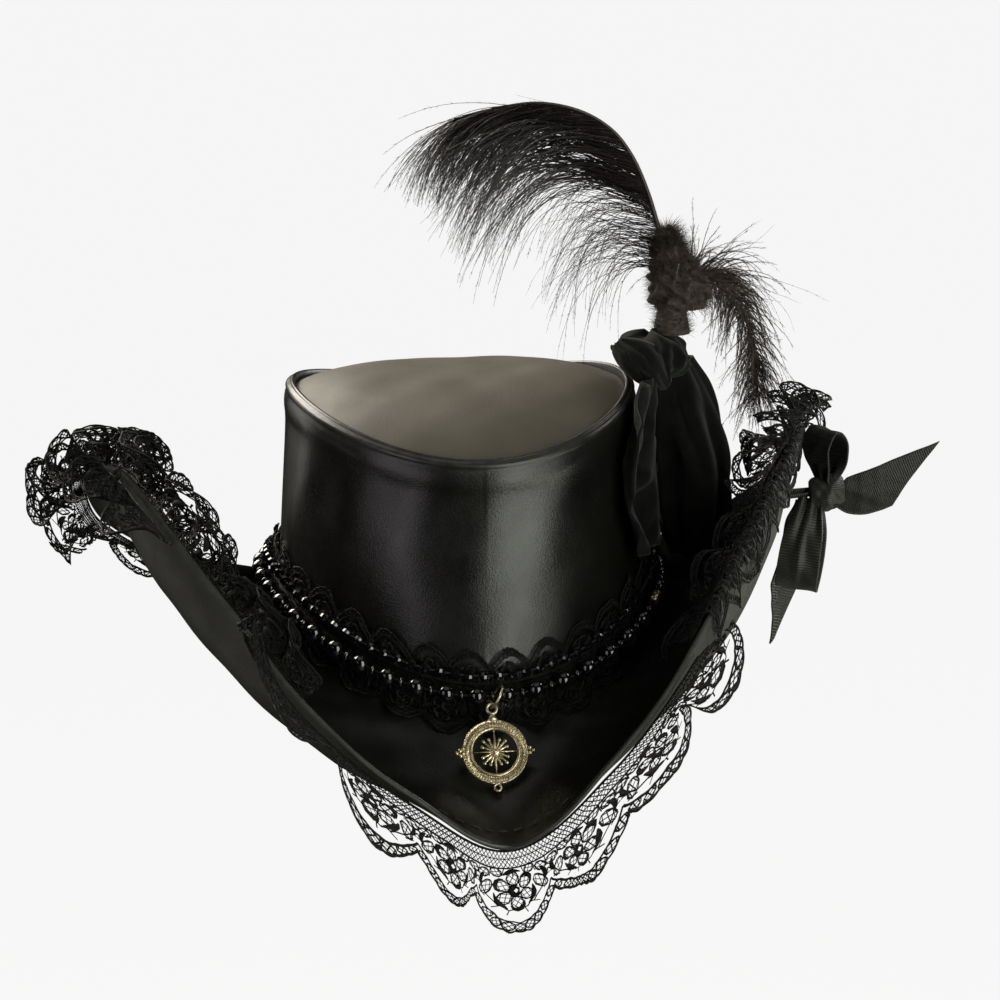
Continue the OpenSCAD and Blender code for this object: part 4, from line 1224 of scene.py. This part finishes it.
def make_tall_plume():
    rng = np.random.default_rng(765)

    def spread(count, wide):
        return rng.normal(0, wide, (count, 1)) * np.array([0, 1.0, 0])

    fan, hang_down = Shape(), Shape()
    count = 620
    s = 1 - rng.uniform(0, 1, count) * 0.62
    roots, way = along_spine(TALL_SPINE, np.minimum(s, 0.99))
    heading = way + np.array([-0.75, 0, -0.42]) + spread(count, 0.24)
    length = mix(112, 64, smooth((s - 0.45) / 0.55)) * rng.uniform(0.7, 1.08, count)
    sag = mix(0.86, 0.66, smooth((s - 0.42) / 0.58)) * rng.uniform(0.65, 1.35, count)
    barbs(fan, roots, heading, length, sag, rng.uniform(0, 0.25, count), rng.uniform(0.24, 0.38, count),
        32, rng, rng.uniform(0, 1, count), wander=0.04)
    count = 110
    s = rng.uniform(0.08, 0.95, count)
    roots, way = along_spine(TALL_SPINE, s)
    heading = way + spread(count, 0.15) + np.array([-0.5, 0, -0.3]) * rng.uniform(0, 1, (count, 1))
    barbs(fan, roots, heading, rng.uniform(12, 26, count), rng.uniform(0.3, 0.6, count), 0 * s,
        rng.uniform(0.16, 0.28, count), 22, rng, rng.uniform(0, 1, count), 9)
    fan.piece("tall_plume_fan", LOOKS["barbs"], "plume_barbs", body="tall_plume",
        replaces=["tall_plume_vane"], smooth_faces=False)

    count = 150
    s = rng.uniform(0.14, 0.5, count)
    roots, way = along_spine(TALL_SPINE, s)
    heading = way * 0.45 + np.array([-0.85, 0, -0.2]) + spread(count, 0.3)
    length = rng.uniform(34, 86, count)
    barbs(hang_down, roots, heading, length, rng.uniform(0.9, 1.6, count), rng.uniform(0, 0.42, count),
        rng.uniform(0.15, 0.24, count), 24, rng, rng.uniform(0, 1, count), 20, 0.06, 1.7)
    count = 4
    roots, way = along_spine(TALL_SPINE, rng.uniform(0.6, 0.8, count))
    heading = way + np.array([-0.5, 0, 0.0]) + spread(count, 0.1)
    barbs(hang_down, roots, heading, rng.uniform(26, 40, count), np.full(count, 0.02), np.zeros(count),
        np.full(count, 0.13), 8, rng, rng.uniform(0, 1, count), 12, 0.03, 1.2)
    hang_down.piece("tall_plume_strands", LOOKS["barbs"], "plume_barbs", body="tall_plume",
        replaces=["tall_plume_vane"], smooth_faces=False)

    make_stem("tall_plume", "tall_plume_quill", TALL_SPINE, 1.6, 1.2, 60)

    down = Shape()
    centre = [[0, 102], [0.2, 102], [0.5, 99], [0.8, 96.5], [1, 95]]
    wide = [[0, 11], [0.2, 14], [0.5, 10], [0.8, 6], [1, 2]]
    a = around(48)
    rings = []
    for t in np.linspace(0, 1, 30):
        r = curve(wide, t) * (1 + 0.16 * waves(np.radians(a) * 3, t * 9, 61))
        rings.append(np.stack([curve(centre, t) + r * cos(a), -6.3 + r * 0.75 * sin(a),
            mix(*DOWN_Z, t) + 0 * a], -1))
    down.loft(rings, mark=0.5)
    count = 5200
    t, a = rng.uniform(0, 1, count), rng.uniform(0, 360, count)
    r = curve(wide, t) * 0.8
    base = np.stack([curve(centre, t) + r * cos(a), -6.3 + 0.75 * r * sin(a), mix(*DOWN_Z, t)], -1)
    way = (np.stack([cos(a), 0.8 * sin(a), rng.uniform(-0.5, 1.1, count)], -1)
        + rng.normal(0, 0.35, (count, 3)))
    tips = base + unit(way) * rng.uniform(3, 9.5, (count, 1))
    spikes(down, base, tips, 0.13, rng.uniform(0, 1, count))
    down.piece("tall_plume_fluff", LOOKS["down"], "plume_down", body="tall_plume",
        replaces=["tall_plume_down"], smooth_faces=False)


def make_short_plume():
    rng = np.random.default_rng(77)
    shape = Shape()
    count = 620
    s = rng.uniform(0.0, 0.97, count) ** 0.95
    roots, way = along_spine(SHORT_SPINE, s)
    side = rng.normal(0, 1, (count, 3))
    side = unit(side - (side * way).sum(1, keepdims=True) * way)
    heading = way * 0.7 + side * rng.uniform(0.3, 1.2, (count, 1))
    length = mix(27, 19, s) * rng.uniform(0.6, 1.6, count)
    barbs(shape, roots, heading, length, rng.uniform(0.1, 0.9, count), 0 * s, rng.uniform(0.2, 0.34, count),
        28, rng, rng.uniform(0, 1, count), 12, 0.09)
    count = 26
    s = rng.uniform(0.05, 0.8, count)
    roots, way = along_spine(SHORT_SPINE, s)
    heading = way + rng.normal(0, 0.55, (count, 3)) + np.array([0.3, 0, -0.1])
    barbs(shape, roots, heading, rng.uniform(30, 62, count), rng.uniform(0.1, 0.6, count), 0 * s,
        rng.uniform(0.14, 0.2, count), 10, rng, rng.uniform(0, 1, count), 16, 0.07, 1.5)
    shape.piece("short_plume_barbs", LOOKS["brown_barbs"], "plume_barbs", body="short_plume",
        replaces=["short_plume_vane"], smooth_faces=False)
    make_stem("short_plume", "short_plume_quill", SHORT_SPINE, 1.3, 1.0, 50)


def make_plume_binding():
    """Cone of brown tape wound round the plumes' feet, with stray fibres."""
    rng = np.random.default_rng(12)
    shape = Shape()
    a = around(96)
    rings = []
    for t in np.linspace(0, 1, 70):
        wrap = (t * 7 + a / 360) % 1
        r = mix(8.2, 5.3, t) + 0.55 * wrap**0.6 + 0.12 * waves(np.radians(a) * 5, t * 9, 71)
        rings.append(np.stack([98 + r * cos(a), -6 + r * sin(a), mix(*BINDING_Z, t) + 0 * a], -1))
    shape.loft(rings)
    count = 900
    t, a = rng.uniform(0, 1, count), rng.uniform(0, 360, count)
    r = mix(8.4, 5.6, t)
    base = np.stack([98 + r * cos(a), -6 + r * sin(a), mix(*BINDING_Z, t)], -1)
    way = np.stack([cos(a), sin(a), rng.uniform(-0.2, 0.9, count)], -1) + rng.normal(0, 0.7, (count, 3))
    spikes(shape, base, base + unit(way) * rng.uniform(1.5, 6, (count, 1)), 0.1, rng.uniform(0, 1, count))
    shape.piece("plume_tape_cone", LOOKS["tape"], "plume_tape", replaces=["plume_binding"])


# ---- bow ----
def ribbon_path(knots, share):
    """Centre and roll of a flat ribbon, as ribbon_strip() in part.scad."""
    knots = np.array(knots, float)
    at = np.stack([curve(knots[:, [0, c]], share) for c in (1, 2, 3)], -1)
    return at, curve(knots[:, [0, 4]], share)


def ribbon_tail(name, node, body, knots, cut, crease, seed):
    """Loose end of ribbon. cut(v) says how much shorter it is at a share across, in mm."""
    n, m = 90, 24
    u = np.linspace(0, 1, n)
    v = np.linspace(-0.5, 0.5, m)
    total = length_of(ribbon_path(knots, u)[0])
    grid_u = u[:, None] * (1 - cut(v)[None] / total)
    points = np.zeros((n, m, 3))
    for j in range(m):
        at, turn = ribbon_path(knots, grid_u[:, j])
        along = unit(ribbon_path(knots, grid_u[:, j] + 0.01)[0]
            - ribbon_path(knots, grid_u[:, j] - 0.01)[0])
        flat0 = unit(np.cross(along, [0, 1.0, 0]))
        wide0 = np.cross(flat0, along)
        wide = cos(turn)[:, None] * wide0 + sin(turn)[:, None] * flat0
        thin = np.cross(along, wide)
        gather = 1 - 0.35 * np.exp(-((grid_u[:, j] * total / 9) ** 2))
        bend = crease(grid_u[:, j], v[j]) + 0.35 * waves(grid_u[:, j] * 7, v[j] * 3 + 0 * u, seed)
        points[:, j] = at + (v[j] * RIBBON_W * gather)[:, None] * wide + bend[:, None] * thin
    shape = Shape()
    uv = np.stack([grid_u * total, np.broadcast_to(v * RIBBON_W, (n, m))], -1)
    sheet_solid(shape, points, RIBBON_CLOTH, uv)
    obj = shape.piece(name, LOOKS["grosgrain"], "grosgrain", body=body, replaces=[node])
    cut_sheet(shape, (RIBBON_W, total), ["ribbon_knot"])


def ribbon_loop(name, node, point, down, deep, wide, reach, r, seed, crease):
    """Loop of ribbon: a teardrop that leaves the knot at point and comes back to it."""
    n, m = 150, 26
    outline = np.array([[0.6, 0.8], [reach * 0.2, r * 0.5], [reach * 0.45, r * 0.88],
        [reach * 0.7, r * 0.97], [reach * 0.88, r * 0.72], [reach * 0.985, r * 0.3], [reach, 0]])
    outline = np.concatenate([outline, outline[-2::-1] * [1, -1]])
    outline = np.c_[outline, np.zeros(len(outline))]
    share = np.linspace(0, 1, n)
    line = path_through(outline, share)
    along = unit(path_through(outline, share + 0.004) - path_through(outline, share - 0.004))
    normal = np.stack([-along[:, 1], along[:, 0]], -1)
    v = np.linspace(-0.5, 0.5, m)
    near = np.exp(-((line[:, 0] / (reach * 0.3)) ** 2))[:, None]
    gather = 1.4 * near * np.sin(v * 15)[None]
    off = (gather + crease(line[:, :1] / reach, v[None], line[:, 1:2])
        + 0.3 * waves(share[:, None] * 9, v[None] * 3, seed))
    a = line[:, :1] + off * normal[:, :1]
    b = line[:, 1:2] + off * normal[:, 1:2]
    across = v[None] * RIBBON_W * (1 - 0.42 * near)
    points = point + a[..., None] * down + b[..., None] * deep + across[..., None] * wide
    total = length_of(line)
    shape = Shape()
    uv = np.stack(np.broadcast_arrays(share[:, None] * total, v[None] * RIBBON_W), -1)
    sheet_solid(shape, points, RIBBON_CLOTH, uv)
    obj = shape.piece(name, LOOKS["grosgrain"], "grosgrain", replaces=[node])
    cut_sheet(shape, (RIBBON_W, total), ["ribbon_knot"])


def make_bow():
    knot = Shape()
    a = around(60)
    rings, uvs = [], []
    for t in np.linspace(0, 1, 44):
        x = mix(-8.2, 8.2, t)
        body = 8.6 - 2.8 * np.abs(2 * t - 1) ** 3
        fold = 0.45 * np.sin(9 * t + np.radians(a)) + 0.3 * waves(np.radians(a) * 2, t * 6, 81)
        rings.append(BOW_AT + np.stack([x + 0.9 * cos(a + 40), (body + fold) * 1.02 * cos(a),
            (body + fold) * sin(a) + 0.12 * x], -1))
        uvs.append(np.stack([a / 360 * 54, 0 * a + x], -1))
    knot.loft(rings, uv=np.array(uvs))
    obj = knot.piece("ribbon_knot", LOOKS["grosgrain"], "grosgrain", replaces=["bow_knot"])

    band = Shape()
    top = brim_at(90.0, 0.72, -BRIM_TH - 0.3)
    u, v = cloth_grid(30, 16, -0.5, 0.5)
    x = mix(top[0] + 0.6, BOW_AT[0] - 6.5, u)
    points = np.stack([x, BOW_AT[1] + 2 + v * 14 * (1 - 0.2 * u),
        top[2] + 1.2 * np.sin(v * 9) + (BOW_AT[2] - top[2]) * u], -1)
    sheet_solid(band, points, 1.0, np.stack([u * 16, v * 14], -1))
    obj = band.piece("ribbon_anchor", LOOKS["grosgrain"], "grosgrain", replaces=["bow_anchor_band"])
    length_of(points[15]) * MM
    length_of(points[:, 0]) * MM

    tilt, turn = 8, 70
    down = np.array([-sin(tilt), 0, -cos(tilt)])
    deep = np.array([cos(turn) * cos(tilt), sin(turn), -cos(turn) * sin(tilt)])
    ribbon_loop("ribbon_lower_loop", "bow_lower_loop", BOW_AT + [-8, -2, -1.5], down, deep,
        np.cross(down, deep), 44.5, 9.5, 91,
        lambda u, v, side: 1.6 * np.exp(-(((v + 0.02) / 0.09) ** 2)) * np.sin(np.pi * u) * (side < 0))
    turn = 24
    deep = np.array([-cos(turn), -sin(turn), 0])
    ribbon_loop("ribbon_upper_loop", "bow_upper_loop", BOW_AT + [-1, 0, 4.5], UP, deep,
        np.cross(UP, deep), 26, 6, 92, lambda u, v, side: 0 * u * v)
    ribbon_tail("ribbon_side_tail", "bow_side_tail", "side_tail",
        [[0, 175, -3, 43, 45], [0.16, 184, -4, 42, 60], [0.4, 196, -5, 45, 72], [0.66, 210, -6, 51, 80],
            [1, 230, -8, 59, 85]],
        lambda v: 30 * (0.5 - v),
        lambda u, v: 3.0 * np.abs(v - 0.25 + 0.8 * u) * np.exp(-(u * 1.5) ** 2), 93)
    ribbon_tail("ribbon_hanging_tail", "bow_hanging_tail", "hanging_tail",
        [[0, 168, 11, 37, 78], [0.2, 166, 14, 26, 70], [0.45, 163, 15.5, 12, 62], [0.7, 157, 14.5, -4, 52],
            [1, 147, 10, -33, 38]],
        lambda v: 22 * np.abs(v - 0.42) ** 0.9, lambda u, v: 1.5 * v * v * 4 * np.sin(3 * u), 94)


make_crown_side()
make_crown_tip()
make_lining()
make_sweatband()
make_brim()
make_lace()
make_beads()
make_jump_ring()
make_compass_frame()
make_compass_rose()
make_velvet_knot()
make_velvet_drape()
make_velvet_loop()
make_tall_plume()
make_short_plume()
make_plume_binding()
make_bow()
paint(["foot_stitches", "back_seam_stitches", "brim_point_stitches", "lace_tacks",
    "lower_strand_thread", "upper_strand_thread"], "sewing")
paint(["strand_clasp"], "gold")


# ---- stage, light and camera ----
def towards(azimuth, elevation):
    """Direction from the hat, 0 in front and 90 at +X, in degrees."""
    return Vector((sin(azimuth) * cos(elevation), -cos(azimuth) * cos(elevation), sin(elevation)))


def area_light(name, azimuth, elevation, distance, size, power, colour):
    """Soft box that shines on the middle of the hat."""
    data = bpy.data.lights.new(name, "AREA")
    data.shape = "RECTANGLE"
    data.size, data.size_y = size
    data.energy, data.color = power, colour
    lamp = bpy.data.objects.new(name, data)
    bpy.context.scene.collection.objects.link(lamp)
    back = towards(azimuth, elevation)
    lamp.location = Vector(LIGHT_AIM) + distance * back
    lamp.rotation_mode = "QUATERNION"
    lamp.rotation_quaternion = back.to_track_quat("Z", "Y")
    lamp.visible_camera = False
    return lamp


def make_stage():
    floor = bpy.data.meshes.new("floor")
    corners = [(x * FLOOR_HALF, y * FLOOR_HALF, FLOOR_Z) for x, y in ((-1, -1), (1, -1), (1, 1), (-1, 1))]
    floor.from_pydata(corners, [], [(0, 1, 2, 3)])
    look = Look("floor_pale", Roughness=0.9, Base_Color=(0.02, 0.02, 0.02, 1))
    look.set(Emission_Color=(0.915, 0.915, 0.915, 1), Emission_Strength=1.0)
    floor.materials.append(look.material)
    obj = bpy.data.objects.new("floor", floor)
    bpy.context.scene.collection.objects.link(obj)
    obj.visible_glossy = False
    obj.visible_diffuse = False
    world = bpy.data.worlds.new("studio")
    bpy.context.scene.world = world
    world.use_nodes = True
    sky = world.node_tree.nodes["Background"].inputs
    sky[0].default_value, sky[1].default_value = (0.91, 0.91, 0.905, 1), 1.0
    world.cycles_visibility.glossy = False
    world.cycles_visibility.diffuse = False
    bpy.context.scene.view_settings.view_transform = "Standard"


def make_lights():
    area_light("key_strip", 29, 6, 2.2, (1.25, 2.6), 43, (0.97, 1.0, 0.9))
    area_light("fill_strip", -50, 6, 2.2, (1.1, 2.2), 11, (1.0, 0.93, 0.97))
    area_light("left_rim", -134, 12, 2.2, (0.6, 2.2), 8, (1.0, 0.97, 0.9))
    area_light("left_low", -100, -20, 2.2, (1.4, 1.2), 5, (1.0, 0.98, 0.86))
    area_light("right_low", 60, -35, 2.2, (1.4, 1.2), 22, (1.0, 1.0, 0.88))
    area_light("right_rim", 120, 15, 2.2, (0.9, 2.4), 36, (1.0, 0.98, 0.93))
    back = area_light("back_top", -142, 36, 2.4, (2.2, 1.4), 104, (1.0, 0.93, 0.82))
    shaded = bpy.data.collections.new("shaded_from_back_top")
    for name in ("brim_leather", "ribbon_upper_loop", "ribbon_lower_loop"):
        shaded.objects.link(bpy.data.objects[name])
    back.light_linking.receiver_collection = shaded
    for linked in shaded.collection_objects:
        linked.light_linking.link_state = "EXCLUDE"
    area_light("top", 0, 84, 2.2, (2.0, 2.0), 5, (1.0, 0.98, 0.95))


def make_camera():
    back = towards(-8, 15)
    data = bpy.data.cameras.new("camera")
    data.sensor_width, data.lens = 36, 147
    data.clip_start, data.clip_end = 0.05, 120
    cam = bpy.data.objects.new("camera", data)
    bpy.context.scene.collection.objects.link(cam)
    cam.location = Vector(CAMERA_AIM) + CAMERA_DISTANCE * back
    cam.rotation_mode = "QUATERNION"
    cam.rotation_quaternion = (-back).to_track_quat("-Z", "Y")
    bpy.context.scene.camera = cam


make_stage()
make_lights()
make_camera()
